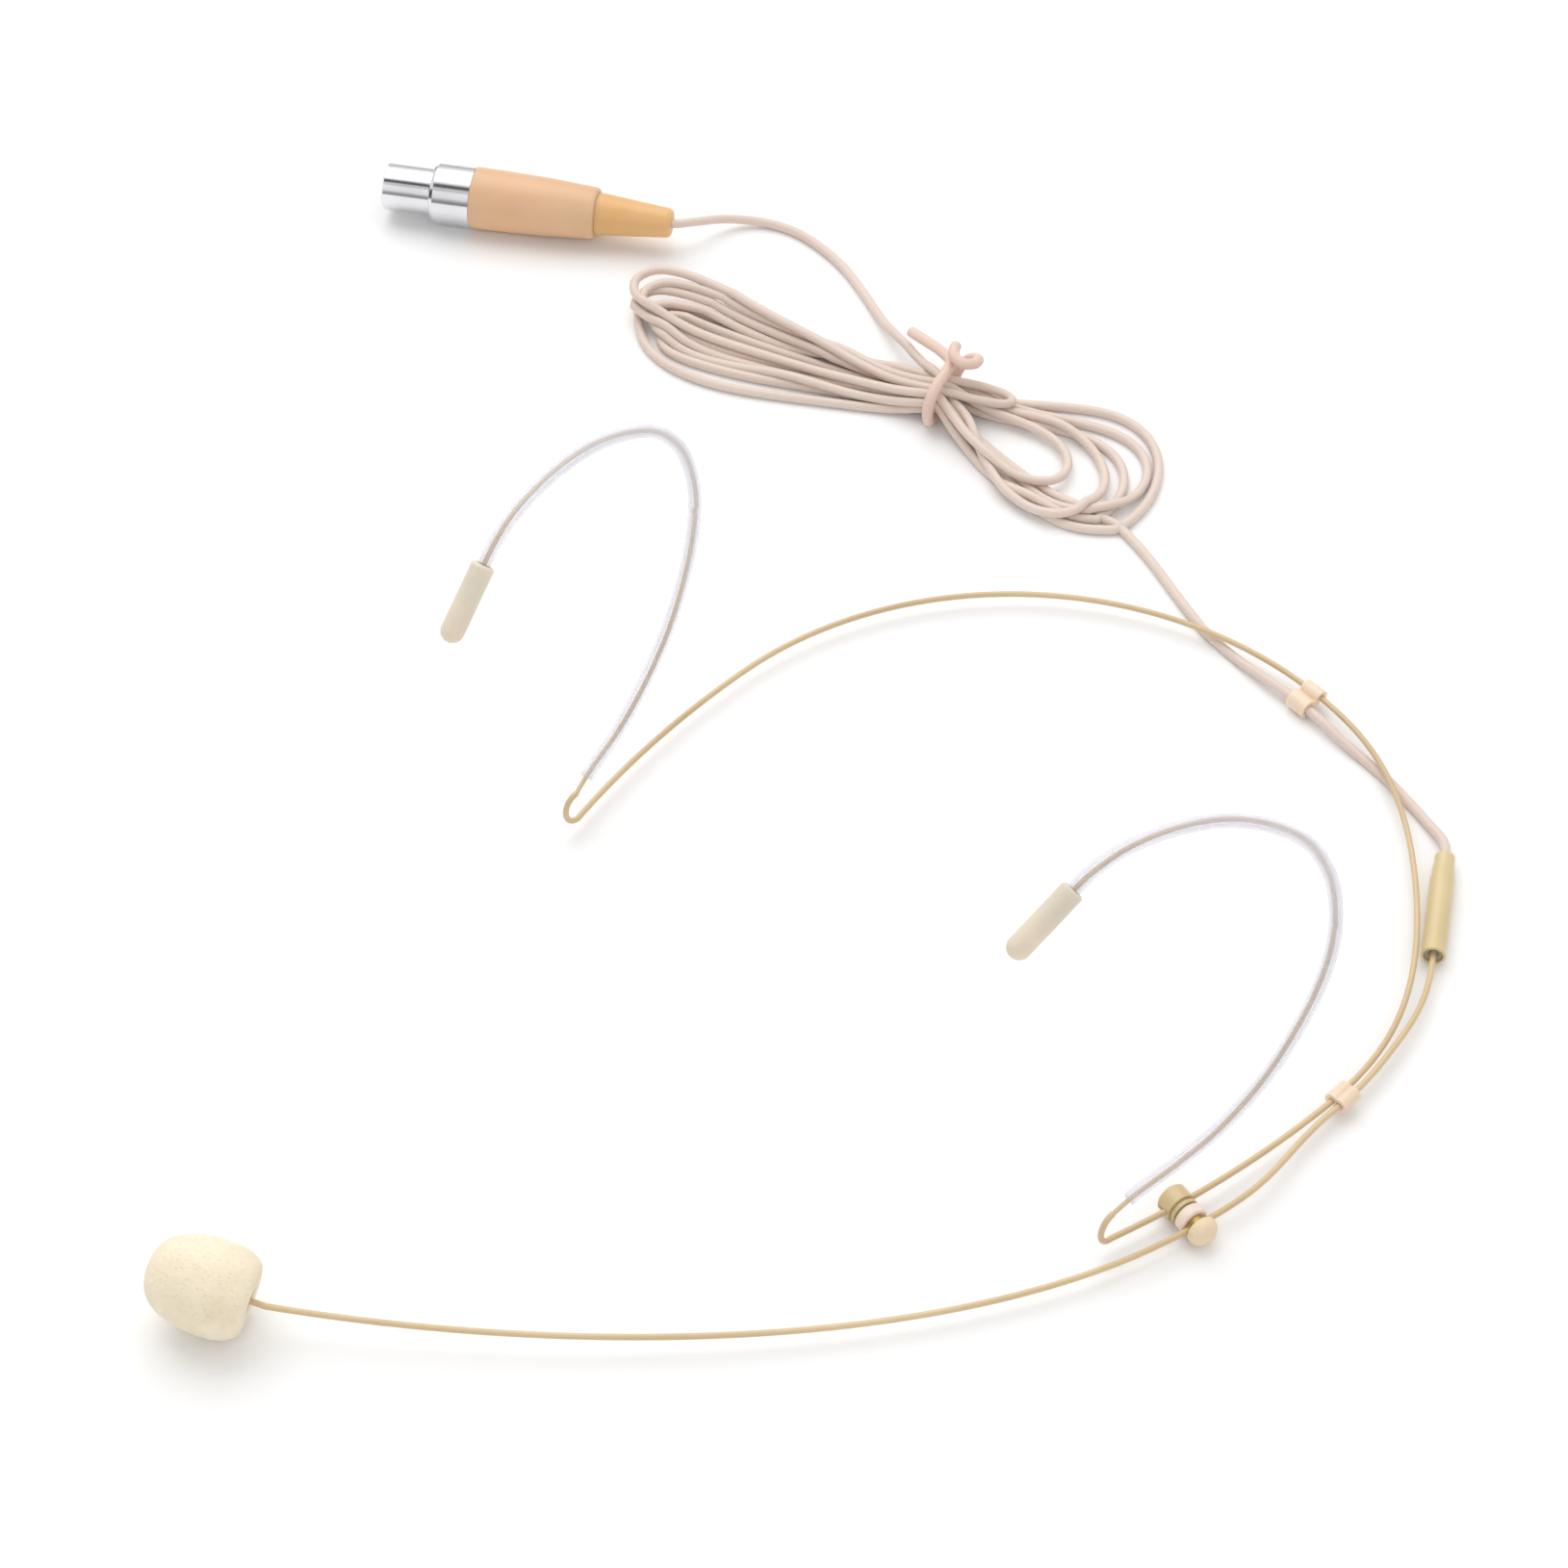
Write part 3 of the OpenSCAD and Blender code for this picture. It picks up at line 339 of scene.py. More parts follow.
# What stays while the strands are pushed apart: the bundle in the tie, the run from the ferrule,
# the strand under the tie's loose end, the run to the plug, and all that lies near the plug.
tie_half, bundle_r, lead_stays = 1.5, 6.5, -20
under_tie_end, under_r = by_waist(-7.4, 6.6, 3.9), 4
tail_stays, tail_above, near_plug = -96, 9, 20
fixed = np.array([abs((v - waist).dot(along)) < tie_half and (v - waist).length < bundle_r
                  or v.x > lead_stays or (v - under_tie_end).length < under_r
                  or v.x < tail_stays and (v - waist).dot(across) > tail_above
                  or (v - plug_point(plug_len)).length < near_plug for v in whole])
cable_line = settled(whole, cable_d * 1.01, gap, fixed, 220)
cable = drawn("cable", cable_line, cable_d, "headset")
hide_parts("cable_lead", "cable_hank", "cable_tail")

# The tie: a short end of soft round cord, once round the waist and knotted on top.
tie_d = 1.8
tie_places = [(-9.6, 9.6, 5.6), (-6.2, 7.6, 6.6), (-2.8, 5.8, 7.3), (0.0, 3.6, 7.8), (0.5, 0.6, 8.0),
              (0.4, -2.2, 7.9), (0.3, -4.7, 6.4), (0.2, -5.4, 3.9), (0.1, -4.4, 1.6), (0, -2, 0.92),
              (0, 2, 0.92), (0, 4.5, 1.6), (0.3, 5.6, 3.9), (1.1, 6.2, 5.8), (2.6, 6.2, 7.4),
              (4.1, 5.2, 8.5), (4.2, 3.4, 9.2), (2.8, 2.2, 9.6), (1.1, 2.8, 9.8), (0.3, 4.2, 9.9),
              (0.1, 5.4, 9.8)]
tie = drawn("tie", through([by_waist(*p) for p in tie_places], 6), tie_d, "headset", 5)
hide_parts("hank_tie")


def grained(name, inputs):
    """A new group of shader nodes with named number inputs, and the node that gives them."""
    group = bpy.data.node_groups.new(name, "ShaderNodeTree")
    for label, value in inputs:
        socket = group.interface.new_socket(label, in_out="INPUT", socket_type="NodeSocketFloat")
        socket.default_value = value
    return group, group.nodes.new("NodeGroupInput")


def finish_group(group, outputs):
    """Gives the group its outputs: pairs of a label, a kind and the socket that feeds it."""
    for label, kind, source in outputs:
        group.interface.new_socket(label, in_out="OUTPUT", socket_type=kind)
    end = group.nodes.new("NodeGroupOutput")
    for label, kind, source in outputs:
        group.links.new(source, end.inputs[label])


def maths(tree, how, a, b=None, clamp=False):
    """A sum worked out in the shader, from numbers or sockets."""
    node = tree.nodes.new("ShaderNodeMath")
    node.operation, node.use_clamp = how, clamp
    for k, value in enumerate((a, b)):
        if value is None:
            continue
        if isinstance(value, (int, float)):
            node.inputs[k].default_value = value
        else:
            tree.links.new(value, node.inputs[k])
    return node.outputs[0]


# Handled finish: faint cloudy tone, fine grain and a few rubbed patches, for every made surface.
handled, given = grained("handled finish", (("Cloud Size", 60.0), ("Grain Size", 900.0), ("Rubbing", 0.3)))
where = handled.nodes.new("ShaderNodeTexCoord")
clouds, grain = handled.nodes.new("ShaderNodeTexNoise"), handled.nodes.new("ShaderNodeTexNoise")
for node, label, detail in ((clouds, "Cloud Size", 4), (grain, "Grain Size", 3)):
    handled.links.new(where.outputs["Object"], node.inputs["Vector"])
    handled.links.new(given.outputs[label], node.inputs["Scale"])
    node.inputs["Detail"].default_value = detail
above = maths(handled, "SUBTRACT", clouds.outputs["Fac"], 0.52, True)
patch = maths(handled, "MULTIPLY", above, given.outputs["Rubbing"])
finish_group(handled, (
    ("Tone", "NodeSocketFloat", clouds.outputs["Fac"]),
    ("Grain", "NodeSocketFloat", grain.outputs["Fac"]),
    ("Rubbed", "NodeSocketFloat", maths(handled, "MULTIPLY", patch, 6.0, True))))


def finish_of(name, light, dark, rough, bump, cloud=60.0, fine=900.0, rubbing=0.3, metal=0.0, depth=0.00004):
    """A material with the handled finish: two tones of a colour, its roughness and its grain."""
    material = bpy.data.materials.new(name)
    material.use_nodes = True
    tree = material.node_tree
    shader = tree.nodes["Principled BSDF"]
    look = tree.nodes.new("ShaderNodeGroup")
    look.node_tree = handled
    look.inputs["Cloud Size"].default_value = cloud
    look.inputs["Grain Size"].default_value = fine
    look.inputs["Rubbing"].default_value = rubbing
    tones = shaded(tree, ((0.3, dark), (0.62, light)))
    tree.links.new(look.outputs["Tone"], tones.inputs["Fac"])
    tree.links.new(tones.outputs["Color"], shader.inputs["Base Color"])
    grain_spread, rub_spread, spread_mean = 0.12, 0.14, 0.07
    spread = maths(tree, "ADD", maths(tree, "MULTIPLY", look.outputs["Grain"], grain_spread),
                   maths(tree, "MULTIPLY", look.outputs["Rubbed"], rub_spread))
    tree.links.new(maths(tree, "ADD", spread, rough - spread_mean, True), shader.inputs["Roughness"])
    relief = tree.nodes.new("ShaderNodeBump")
    relief.name = "grain relief"
    relief.inputs["Strength"].default_value = bump
    relief.inputs["Distance"].default_value = depth
    tree.links.new(look.outputs["Grain"], relief.inputs["Height"])
    tree.links.new(relief.outputs["Normal"], shader.inputs["Normal"])
    shader.inputs["Metallic"].default_value = metal
    return material


def sheen_of(material, coat, coat_rough, specular=0.5, soft=0.0, soft_reach=(0.002, 0.001, 0.0006)):
    """Gives a finish its clear coat, and the softness of a plastic that light enters."""
    shader = material.node_tree.nodes["Principled BSDF"]
    shader.inputs["Coat Weight"].default_value = coat
    shader.inputs["Coat Roughness"].default_value = coat_rough
    shader.inputs["Specular IOR Level"].default_value = specular
    shader.inputs["Subsurface Weight"].default_value = soft
    shader.inputs["Subsurface Radius"].default_value = soft_reach
    shader.inputs["Subsurface Scale"].default_value = 1.0


sharp_edge = math.radians(38)


def finished(piece, material, smooth=None):
    """Gives a piece its material in a single slot, and where asked its edges softened by so many millimetres.
    """
    piece.data.materials.clear()
    piece.data.materials.append(material)
    if smooth:
        edges = piece.modifiers.new("soft edges", "BEVEL")
        edges.width, edges.segments, edges.limit_method = smooth * MM, 2, "ANGLE"
        edges.angle_limit = sharp_edge
        edges.harden_normals = True
    return piece


jacket = finish_of(
    "cable jacket", (0.75, 0.63, 0.555), (0.685, 0.56, 0.485), 0.46, 0.25, 25, 1400)
sheen_of(jacket, 0.08, 0.4, 0.4, 0.12)
finished(cable, jacket)
tie_jacket = finish_of(
    "tie jacket", (0.80, 0.62, 0.53), (0.73, 0.545, 0.455), 0.5, 0.3, 30, 1500)
sheen_of(tie_jacket, 0.05, 0.4, 0.4, 0.15)
finished(tie, tie_jacket)

# ---------------------------------------------------------------------------
# Neckband. One spring wire, drawn and bent, with a thin skin-toned lacquer.
# Its ends turn up through the U-bends and run on into the ear hooks.
side_len, side_inset, u_gap, u_depth = 38.6, 4.9, 5.4, 2.2
draw_from, draw_to = 10, 78
side_r = (side_len ** 2 + side_inset ** 2) / (2 * side_inset)
side_sweep = math.asin(side_len / side_r)


def band_at(angle, side):
    """The band's radius. On the boom's side it is drawn in a little, beside the ferrule."""
    if side < 0 or angle < draw_from or angle > draw_to:
        return band_r
    return band_r - band_draw * (1 - math.cos(2 * math.pi * (angle - draw_from) / (draw_to - draw_from))) / 2


def half_band(side):
    """One half of the wire: the back arc, the shallower side arc and the U-bend."""
    points = []
    for k in range(0, 61):
        angle = 90 - 1.5 * k
        r, a = band_at(angle, side), math.radians(angle)
        points.append(Vector((middle.x + side * r * math.cos(a), middle.y + r * math.sin(a), middle.z)))
    for k in range(1, 25):
        a = side_sweep * k / 24
        points.append(Vector((middle.x + side * (band_r - side_r + side_r * math.cos(a)),
                              middle.y - side_r * math.sin(a), middle.z)))
    corner = u_bend_at(side)
    for k in range(1, 19):
        a = math.pi * k / 18
        points.append(corner + Vector((0, -u_depth * math.sin(a), u_gap / 2 * (1 - math.cos(a)))))
    return points


def u_bend_at(side):
    """The lower start of a U-bend, at the end of a side arc."""
    return Vector((middle.x + side * (band_r - side_inset), middle.y - side_len, middle.z))


band = drawn("neckband", half_band(-1)[::-1] + half_band(1)[1:], band_wire_d, "headset", 5)
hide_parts("neck_wire")
band_lacquer = finish_of(
    "band lacquer", (0.66, 0.49, 0.28), (0.56, 0.40, 0.21), 0.34, 0.18, 40, 1100, 0.5)
sheen_of(band_lacquer, 0.35, 0.22)
finished(band, band_lacquer)

# ---------------------------------------------------------------------------
# Ear hooks. Thinner lacquered wire in a loose clear silicone sleeve, which
# is pushed into a soft cap at the tip. The wire wanders in its sleeve.
hook_wire_d, hook_h, hook_back, hook_front = 0.7, 70.0, 32.0, 14.0
hook_pitch, hook_lean, hook_toe = {1: 5.0, -1: -6.0}, 2.5, 11.0
sleeve_d, sleeve_bore, tip_overlap = 1.9, 1.3, 5.0
hook_shape = ((0, 0), (4, 0.03), (10, 0.06), (16.4, 0.11), (22.5, 0.19), (26.8, 0.285), (29.8, 0.39),
              (31, 0.5), (30.3, 0.605), (28, 0.71), (23.5, 0.815), (17, 0.9), (9.5, 0.965), (1.5, 1),
              (-6, 1.005), (-11, 0.985), (-14, 0.955))


shape_front, shape_back, pitch_over = 14, 31, 20


def hook_point(side, p):
    """A point of the hook's outline, set on its U-bend and leant as that side's hook leans."""
    s = p[0] * (hook_front / shape_front if p[0] < 0 else hook_back / shape_back)
    h = p[1] * hook_h
    grown = min(1.0, math.hypot(s, h) / pitch_over)
    turned = (Matrix.Rotation(math.radians(-side * hook_toe), 3, "Z")
              @ Matrix.Rotation(math.radians(-side * hook_lean), 3, "Y")
              @ Matrix.Rotation(math.radians(-hook_pitch[side] * grown), 3, "X"))
    return u_bend_at(side) + Vector((0, 0, u_gap)) + turned @ Vector((0, s, h))


def hose(name, line, outer, bore, body, around=20):
    """A hollow tube along a line, with open ends."""
    shell = bmesh.new()
    rings = []
    side = Vector((0, 0, 1))
    for k, at in enumerate(line):
        heading = (line[min(k + 1, len(line) - 1)] - line[max(k - 1, 0)]).normalized()
        upright = abs(heading.z) > 0.95
        if upright and k == 0:
            side = Vector((1, 0, 0))
        side = (side - heading * side.dot(heading)).normalized()
        other = heading.cross(side)
        ring = []
        for r in (outer / 2, bore / 2):
            ring.append([shell.verts.new((at + (side * math.cos(2 * math.pi * n / around)
                                                + other * math.sin(2 * math.pi * n / around)) * r) * MM)
                         for n in range(around)])
        rings.append(ring)
    for n in range(around):
        m = (n + 1) % around
        for a, b in zip(rings, rings[1:]):
            shell.faces.new((a[0][n], a[0][m], b[0][m], b[0][n]))
            shell.faces.new((b[1][n], b[1][m], a[1][m], a[1][n]))
        shell.faces.new((rings[0][1][n], rings[0][1][m], rings[0][0][m], rings[0][0][n]))
        shell.faces.new((rings[-1][0][n], rings[-1][0][m], rings[-1][1][m], rings[-1][1][n]))
    mesh = bpy.data.meshes.new(name)
    shell.to_mesh(mesh)
    shell.free()
    for face in mesh.polygons:
        face.use_smooth = True
    piece = bpy.data.objects.new(name, mesh)
    bpy.context.collection.objects.link(piece)
    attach(piece, body)
    return piece


hook_lacquer = finish_of(
    "hook lacquer", (0.66, 0.51, 0.32), (0.57, 0.43, 0.25), 0.36, 0.2, 45, 1200, 0.4)
sheen_of(hook_lacquer, 0.3, 0.25)
clear = finish_of(
    "clear silicone", (0.86, 0.86, 0.94), (0.79, 0.79, 0.89), 0.16, 0.08, 80, 500, 0.2)
sheen_of(clear, 0.0, 0.1)
tree = clear.node_tree
shader = tree.nodes["Principled BSDF"]
shader.inputs["IOR"].default_value = 1.38
edge_on = tree.nodes.new("ShaderNodeLayerWeight")
edge_on.inputs["Blend"].default_value = 0.3
veil = tree.nodes.new("ShaderNodeMapRange")
veil.inputs["To Min"].default_value, veil.inputs["To Max"].default_value = 0.13, 0.66
tree.links.new(edge_on.outputs["Facing"], veil.inputs["Value"])
tree.links.new(veil.outputs["Result"], shader.inputs["Alpha"])
cap_silicone = finish_of(
    "cap silicone", (0.78, 0.685, 0.555), (0.70, 0.605, 0.475), 0.5, 0.3, 90, 800, 0.3)
sheen_of(cap_silicone, 0.05, 0.5, 0.35, 0.35, (0.003, 0.0025, 0.002))
sway_by, lift_by, fade_over, sleeve_start = 0.25, 0.15, 8, 2.4
for side, label in ((1, "left"), (-1, "right")):
    line = through([hook_point(side, p) for p in hook_shape], 6)
    heading = (line[-1] - line[-2]).normalized()
    wander = []
    for k, at in enumerate(line):
        ahead = (line[min(k + 1, len(line) - 1)] - line[max(k - 1, 0)]).normalized()
        flat_side = Vector((ahead.y, -ahead.x, 0))
        flat_side = flat_side.normalized() if flat_side.length > 0.05 else Vector((1, 0, 0))
        fade = min(1, k / fade_over, (len(line) - 1 - k) / fade_over)
        sway = sway_by * fade * math.sin(k / len(line) * 11.0 + 0.7 * side)
        lifted = lift_by * fade * math.cos(k / len(line) * 8.0)
        wander.append(at + flat_side * sway + flat_side.cross(ahead) * lifted)
    wire = drawn(label + "_wire", wander + [line[-1] + heading * (tip_overlap + 1)], hook_wire_d, "headset")
    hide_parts(label + "_hook_wire")
    finished(wire, hook_lacquer)
    first = next(k for k in range(len(line)) if (line[k] - line[0]).length > sleeve_start)
    sleeve = hose(label + "_clear_sleeve", line[first:] + [line[-1] + heading * tip_overlap],
                  sleeve_d, sleeve_bore, "headset")
    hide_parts(label + "_hook_sleeve")
    finished(sleeve, clear)
    finished(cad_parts[label + "_tip_cap"], cap_silicone)

# ---------------------------------------------------------------------------
# Wire clips. Moulded in one shot from a soft peach plastic, with two snap
# rings side by side; they slide along the band.
clip_plastic = finish_of(
    "clip plastic", (0.90, 0.70, 0.535), (0.84, 0.62, 0.45), 0.42, 0.3, 120, 1500, 0.4)
sheen_of(clip_plastic, 0.12, 0.3, 0.45, 0.35, (0.002, 0.0012, 0.0007))
for label in ("rear_clip", "side_clip"):
    finished(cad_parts[label], clip_plastic, smooth=0.12)

# ---------------------------------------------------------------------------
# Clamp. A painted head that snaps over the band, a turned post, a pale
# plastic ring and a peach screw cap that holds the boom down.
clamp_paint = finish_of(
    "clamp paint", (0.70, 0.55, 0.31), (0.60, 0.455, 0.235), 0.36, 0.3, 90, 1300, 0.6)
sheen_of(clamp_paint, 0.25, 0.3)
clamp_steel = finish_of(
    "clamp steel", (0.72, 0.68, 0.60), (0.58, 0.54, 0.46), 0.28, 0.2, 90, 1700, 0.7, metal=1.0)
clamp_brass = finish_of(
    "clamp brass", (0.62, 0.44, 0.17), (0.45, 0.30, 0.10), 0.33, 0.25, 80, 1600, 0.8, metal=1.0)
ring_plastic = finish_of(
    "ring plastic", (0.93, 0.77, 0.66), (0.88, 0.70, 0.58), 0.4, 0.25, 100, 1400, 0.3)
sheen_of(ring_plastic, 0.15, 0.3, 0.45, 0.3, (0.002, 0.0012, 0.0007))
cap_paint = finish_of(
    "cap paint", (0.86, 0.70, 0.48), (0.80, 0.63, 0.41), 0.52, 0.35, 110, 1500, 0.4)
sheen_of(cap_paint, 0.08, 0.4)
for label, material, ease in (("clamp_base", clamp_paint, 0.06), ("clamp_washer", clamp_steel, 0.03),
                              ("clamp_post", clamp_brass, 0.04), ("clamp_ring", ring_plastic, 0.05),
                              ("clamp_cap", cap_paint, 0.06)):
    finished(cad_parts[label], material, smooth=ease)

# ---------------------------------------------------------------------------
# Boom. A thin lacquered metal tube bowed by hand, which runs from the
# capsule through the clamp's post and beside the band into the ferrule.
boom_d, clamp_reach, clamp_back, hub_d = 0.9, 4.25, 10.8, 3.0
clamp_y = middle.y - side_len + clamp_back
clamp_yaw = math.asin((middle.y - clamp_y) / side_r)
clamp_at = Vector((middle.x + band_r - side_r + side_r * math.cos(clamp_yaw), clamp_y, middle.z))
forward = Vector((-math.sin(clamp_yaw), -math.cos(clamp_yaw), 0))
outward = Vector((math.cos(clamp_yaw), -math.sin(clamp_yaw), 0))
boom_pivot = clamp_at + outward * clamp_reach
capsule_at, capsule_yaw, capsule_tilt = Vector((-22.2, -91.9, 6.8)), math.radians(31), math.radians(12)
capsule_dir = Vector((-math.cos(capsule_yaw) * math.cos(capsule_tilt),
                      -math.sin(capsule_yaw) * math.cos(capsule_tilt), math.sin(capsule_tilt)))


def swept(points, steps, first=0):
    """A cubic curve from its two ends and two handles."""
    a, b, c, d = points
    return [a * (1 - t) ** 3 + b * 3 * t * (1 - t) ** 2 + c * 3 * t * t * (1 - t) + d * t ** 3
            for t in (k / steps for k in range(first, steps + 1))]


in_hub, post_exit, front_pull = 1.4, 2, 36
knee_back, knee_yaw, knee_pull = 6.5, math.radians(37), 46
knee = capsule_at - capsule_dir * knee_back
heading = Vector((-math.cos(knee_yaw), -math.sin(knee_yaw), 0.06))
front_line = [boom_pivot - forward * in_hub] + swept(
    (boom_pivot + forward * post_exit, boom_pivot + forward * front_pull,
     knee - heading * knee_pull, knee), 96)
front_line = front_line[:-1] + through([front_line[-1], capsule_at - capsule_dir * 3.5,
                                        capsule_at - capsule_dir * 1.5, capsule_at + capsule_dir * 0.4], 8)
boom_lacquer = finish_of(
    "boom lacquer", (0.70, 0.53, 0.305), (0.60, 0.43, 0.225), 0.33, 0.18, 35, 1100, 0.5)
sheen_of(boom_lacquer, 0.35, 0.22)
boom = drawn("boom_tube", front_line, boom_d, "boom", 5)
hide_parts("boom_front")
finished(boom, boom_lacquer)


beside_by, beside_from, beside_to, beside_steps = 1.3, -1.5, 11, 10


def beside_band(angle):
    """A point of the boom's rear run where it lies against the outside of the band."""
    r, a = band_at(angle, 1) + beside_by, math.radians(angle)
    return Vector((middle.x + r * math.cos(a), middle.y + r * math.sin(a), middle.z))


start = boom_pivot - forward * (hub_d / 2 + 0.35)
clip_front, clip_rear = beside_band(beside_from), beside_band(beside_to)
rear_line = swept((start, start - forward * 12, clip_front + Vector((0.4, -10, 0)), clip_front), 30)[:-1]
rear_line += [beside_band(beside_from + (beside_to - beside_from) / beside_steps * k)
              for k in range(beside_steps + 1)]
leaving = Vector((-math.sin(math.radians(beside_to)), math.cos(math.radians(beside_to)), 0))
rear_line += swept((clip_rear, clip_rear + leaving * 8, ferrule_point(-9), ferrule_point(-1)), 30, 1)
rear_line += [ferrule_point(0.5), ferrule_point(3.9)]
boom_end = drawn("boom_tail", rear_line, boom_d, "headset", 5)
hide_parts("boom_rear")
finished(boom_end, boom_lacquer)

# ---------------------------------------------------------------------------
# Ferrule. A turned metal barrel painted skin tone; its boom end shows a
# darker rim and a recessed insert, and the cable enters through a gland.
ferrule_paint = finish_of(
    "ferrule paint", (0.72, 0.58, 0.315), (0.63, 0.495, 0.255), 0.36, 0.35, 70, 1200, 0.6)
sheen_of(ferrule_paint, 0.22, 0.3)
ferrule_resin = finish_of(
    "ferrule resin", (0.44, 0.40, 0.30), (0.34, 0.305, 0.225), 0.5, 0.4, 90, 1000, 0.4)
black_rubber = finish_of(
    "black rubber", (0.05, 0.048, 0.045), (0.03, 0.029, 0.028), 0.6, 0.4, 90, 1000, 0.4)
for label, material, ease in (("ferrule_shell", ferrule_paint, 0.06), ("ferrule_insert", ferrule_resin, 0.04),
                              ("cable_gland", black_rubber, 0.04)):
    finished(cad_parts[label], material, smooth=ease)

# ---------------------------------------------------------------------------
# Capsule. A small dark metal can on the boom's end, with its element, a
# gasket behind it and a perforated disc in front, all under the foam.
capsule_black = finish_of(
    "capsule black", (0.07, 0.065, 0.06), (0.045, 0.042, 0.04), 0.42, 0.3, 90, 1300, 0.5)
capsule_metal = finish_of(
    "capsule metal", (0.70, 0.68, 0.65), (0.56, 0.54, 0.51), 0.3, 0.25, 90, 1600, 0.5, metal=1.0)
for label, material in (("capsule_housing", capsule_black), ("capsule_gasket", black_rubber),
                        ("capsule_element", capsule_metal), ("capsule_grille", capsule_metal)):
    finished(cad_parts[label], material, smooth=0.03)

# ---------------------------------------------------------------------------
# Windscreen. A soft ball of open foam, cut round at the front and flat at
# the back, with fine pores and fibres; it pulls off the capsule forwards.
foam_d, foam_len, foam_face_d, foam_rear, capsule_len = 13.6, 14.6, 8.6, 4.5, 6.5
capsule_d, foam_play, skin_in = 3.6, 0.05, 0.09
foam_bore = capsule_d + 2 * foam_play
foam_front, back = foam_len - foam_rear, -foam_rear
widest = back + foam_len * 0.34
outline = [(foam_bore / 2, capsule_len * 0.2), (foam_bore / 2, back + 0.25),
           (foam_bore / 2 + 0.22, back + 0.04)]
outline += [(foam_bore / 2 + (foam_face_d / 2 - 0.4 - foam_bore / 2) * k / 6, back) for k in range(1, 7)]
for k in range(0, 25):
    a = math.radians(90 * k / 24)
    outline.append((foam_face_d / 2 + (foam_d / 2 - foam_face_d / 2) * math.sin(a),
                    widest - (widest - back) * math.cos(a)))
for k in range(1, 44):
    a = math.radians(90 * k / 44)
    outline.append((foam_d / 2 * math.cos(a) ** 0.72, widest + (foam_front - widest) * math.sin(a) ** 0.9))
to_capsule = capsule_dir.to_track_quat("Z", "Y")
around = 192
ball = bmesh.new()
rows = []
for r, z in outline:
    ring = []
    for n in range(around):
        turn = 2 * math.pi * n / around
        # a slight sag out of round, then open cells of two sizes over all but the bore
        spot = Vector((r * math.cos(turn), r * math.sin(turn), z))
        sag = 1 + 0.012 * math.sin(2 * turn + 0.6) + 0.010 * noise.noise(spot * 0.22)
        cell = noise.noise(spot * 2.1) * 0.055 + noise.noise(spot * 4.7 + Vector((7, 1, 3))) * 0.045
        spot = Vector((spot.x * sag, spot.y * sag, spot.z))
        if r > foam_bore / 2 + 0.1:
            out = Vector((spot.x, spot.y, spot.z - 1)).normalized()
            spot -= out * (skin_in - cell * 1.2)
        ring.append(ball.verts.new((capsule_at + to_capsule @ spot) * MM))
    rows.append(ring)
nose_tip = ball.verts.new((capsule_at + capsule_dir * (foam_front - skin_in)) * MM)
for a, b in zip(rows, rows[1:]):
    for n in range(around):
        m = (n + 1) % around
        ball.faces.new((a[n], a[m], b[m], b[n]))
for n in range(around):
    ball.faces.new((rows[-1][n], rows[-1][(n + 1) % around], nose_tip))
foam_mesh = bpy.data.meshes.new("foam_ball")
ball.to_mesh(foam_mesh)
ball.free()
for face in foam_mesh.polygons:
    face.use_smooth = True
foam = bpy.data.objects.new("foam_ball", foam_mesh)
bpy.context.collection.objects.link(foam)
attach(foam, "windscreen")
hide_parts("windscreen")
cells = finish_of(
    "foam", (0.90, 0.805, 0.63), (0.85, 0.745, 0.565), 0.9, 0.5, 260, 1500, 0.2, depth=0.0001)
sheen_of(cells, 0.0, 0.5, 0.15, 0.35, (0.003, 0.002, 0.0012))
tree = cells.node_tree
pores = tree.nodes.new("ShaderNodeTexVoronoi")
pores.inputs["Scale"].default_value = 1500
place = tree.nodes.new("ShaderNodeTexCoord")
tree.links.new(place.outputs["Object"], pores.inputs["Vector"])
pits = shaded(tree, ((0.05, 0.25), (0.45, 1.0)))
tree.links.new(pores.outputs["Distance"], pits.inputs["Fac"])
deep = tree.nodes.new("ShaderNodeBump")
deep.inputs["Strength"].default_value = 0.9
deep.inputs["Distance"].default_value = 0.00015
tree.links.new(pits.outputs["Color"], deep.inputs["Height"])
tree.links.new(tree.nodes["grain relief"].outputs["Normal"], deep.inputs["Normal"])
tree.links.new(deep.outputs["Normal"], tree.nodes["Principled BSDF"].inputs["Normal"])
finished(foam, cells)

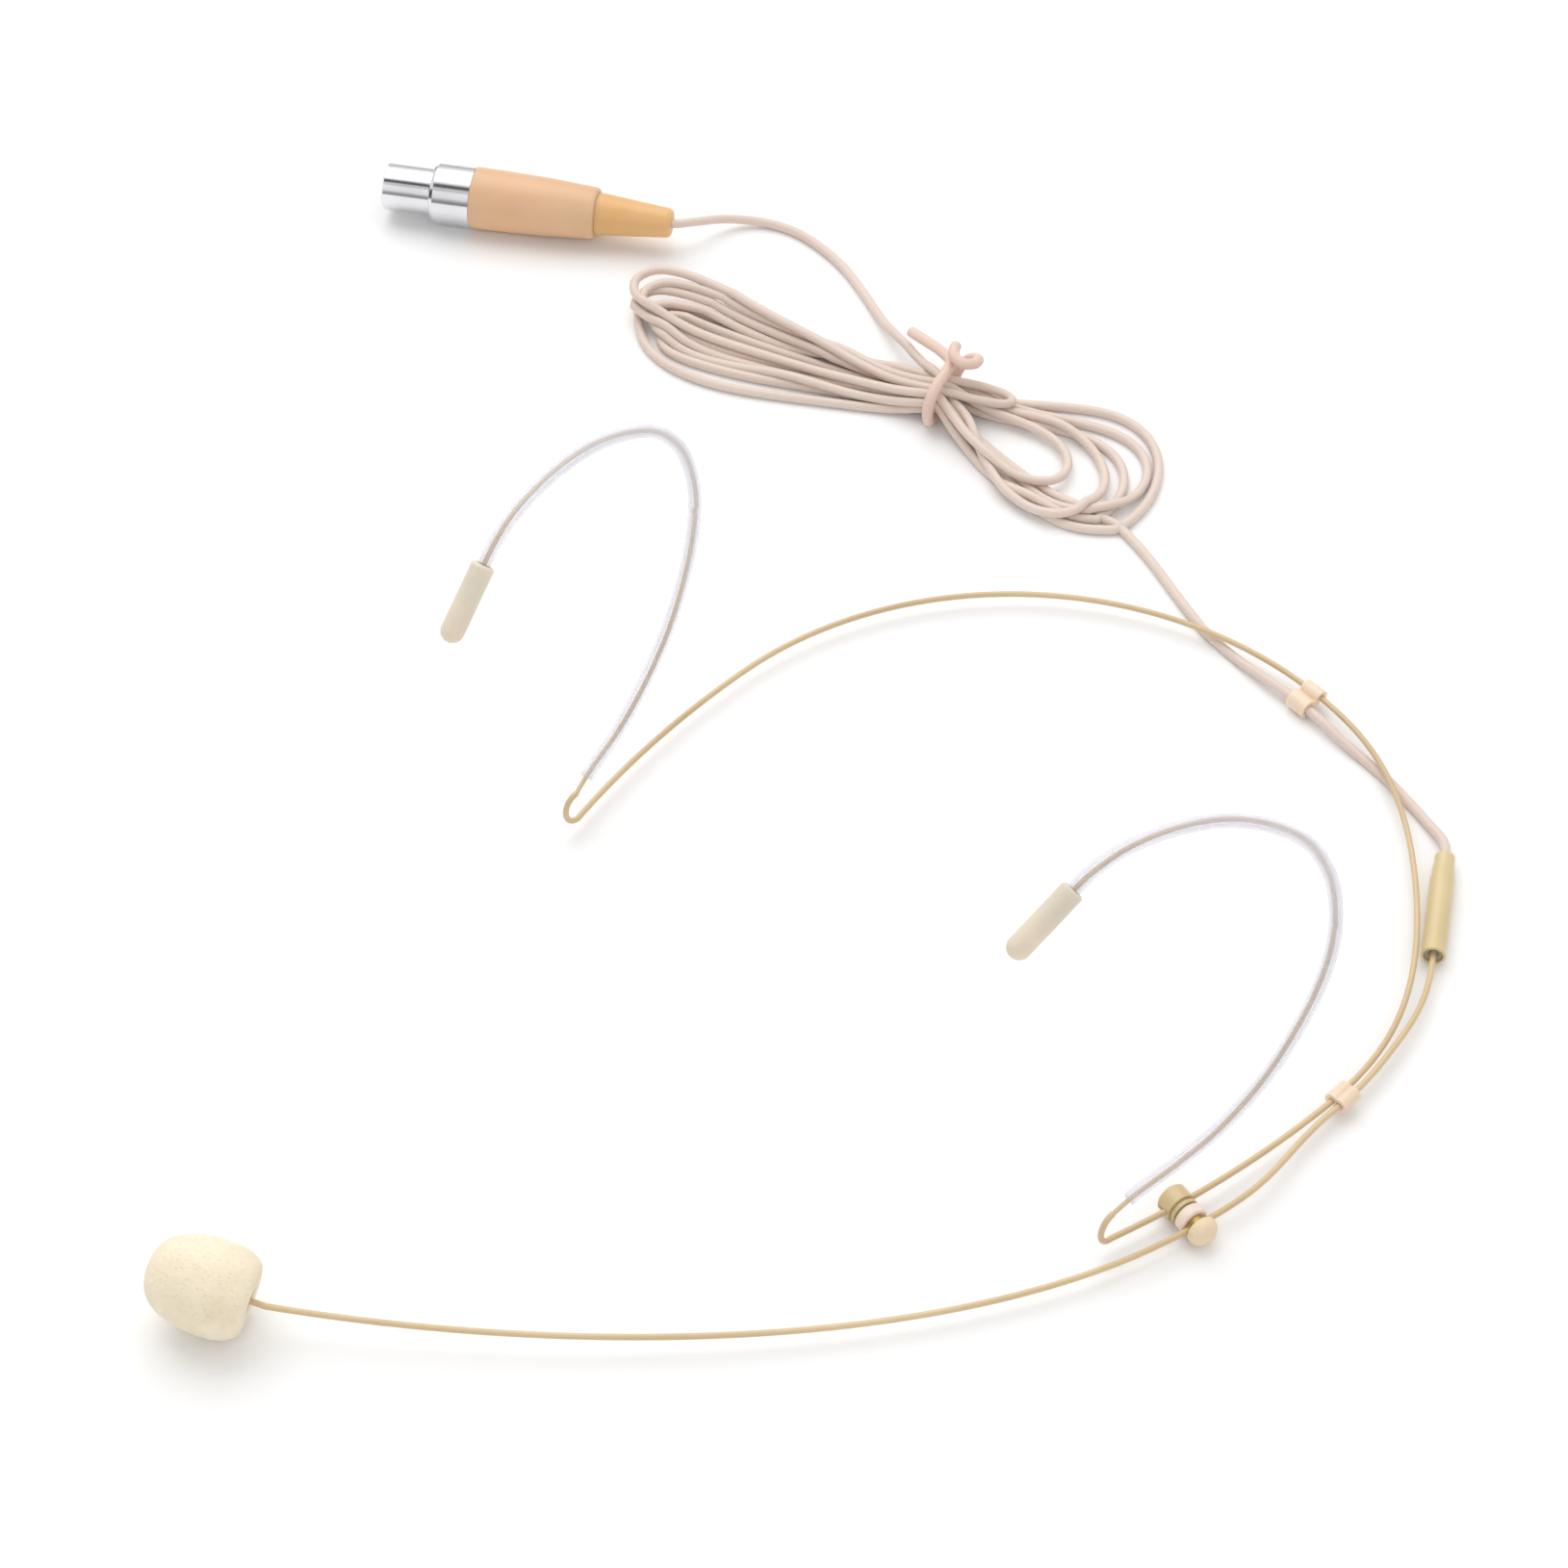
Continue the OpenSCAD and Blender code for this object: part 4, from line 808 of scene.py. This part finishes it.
# ---------------------------------------------------------------------------
# Plug. A plated shell with its insert and contacts, a sprung latch with its
# button, a screwed-on skin-toned sleeve and an amber boot round the cable.
plating = finish_of(
    "plug plating", (0.86, 0.86, 0.87), (0.74, 0.74, 0.76), 0.14, 0.06, 70, 1500, 0.5, metal=1.0)
insert_plastic = finish_of(
    "insert plastic", (0.04, 0.04, 0.042), (0.025, 0.025, 0.027), 0.45, 0.3, 90, 1300, 0.3)
contact_gold = finish_of(
    "contact plating", (0.90, 0.68, 0.32), (0.78, 0.56, 0.24), 0.22, 0.15, 90, 1500, 0.5, metal=1.0)
latch_steel = finish_of(
    "latch steel", (0.78, 0.78, 0.79), (0.64, 0.64, 0.66), 0.24, 0.2, 90, 1500, 0.7, metal=1.0)
sleeve_plastic = finish_of(
    "sleeve plastic", (0.77, 0.48, 0.285), (0.70, 0.42, 0.235), 0.44, 0.3, 60, 1300, 0.4)
sheen_of(sleeve_plastic, 0.12, 0.35, 0.45, 0.25, (0.003, 0.0015, 0.0008))
tree = sleeve_plastic.node_tree
drawn_marks = tree.nodes.new("ShaderNodeTexNoise")
drawn_marks.inputs["Scale"].default_value = 1.0
lengthwise = tree.nodes.new("ShaderNodeMapping")
lengthwise.inputs["Rotation"].default_value = (0, 0, -plug_yaw)
lengthwise.inputs["Scale"].default_value = (25, 1500, 1500)
place = tree.nodes.new("ShaderNodeTexCoord")
tree.links.new(place.outputs["Object"], lengthwise.inputs["Vector"])
tree.links.new(lengthwise.outputs["Vector"], drawn_marks.inputs["Vector"])
lines = tree.nodes.new("ShaderNodeBump")
lines.inputs["Strength"].default_value = 0.25
lines.inputs["Distance"].default_value = 0.00005
tree.links.new(drawn_marks.outputs["Fac"], lines.inputs["Height"])
tree.links.new(tree.nodes["grain relief"].outputs["Normal"], lines.inputs["Normal"])
tree.links.new(lines.outputs["Normal"], tree.nodes["Principled BSDF"].inputs["Normal"])
boot_rubber = finish_of(
    "boot rubber", (0.79, 0.49, 0.225), (0.72, 0.42, 0.165), 0.4, 0.3, 70, 1100, 0.3)
sheen_of(boot_rubber, 0.1, 0.35, 0.45, 0.5, (0.004, 0.002, 0.0008))
collet_plastic = finish_of(
    "collet plastic", (0.80, 0.78, 0.72), (0.72, 0.70, 0.64), 0.45, 0.3, 80, 1200, 0.3)
for label, material, ease in (("plug_shell", plating, 0.06), ("plug_insert", insert_plastic, 0.04),
                              ("plug_contacts", contact_gold, 0.03), ("latch_lever", latch_steel, 0.05),
                              ("latch_pin", latch_steel, 0.03), ("plug_sleeve", sleeve_plastic, 0.12),
                              ("plug_boot", boot_rubber, 0.1), ("cable_clamp", collet_plastic, 0.05)):
    finished(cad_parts[label], material, smooth=ease)

bpy.context.view_layer.update()
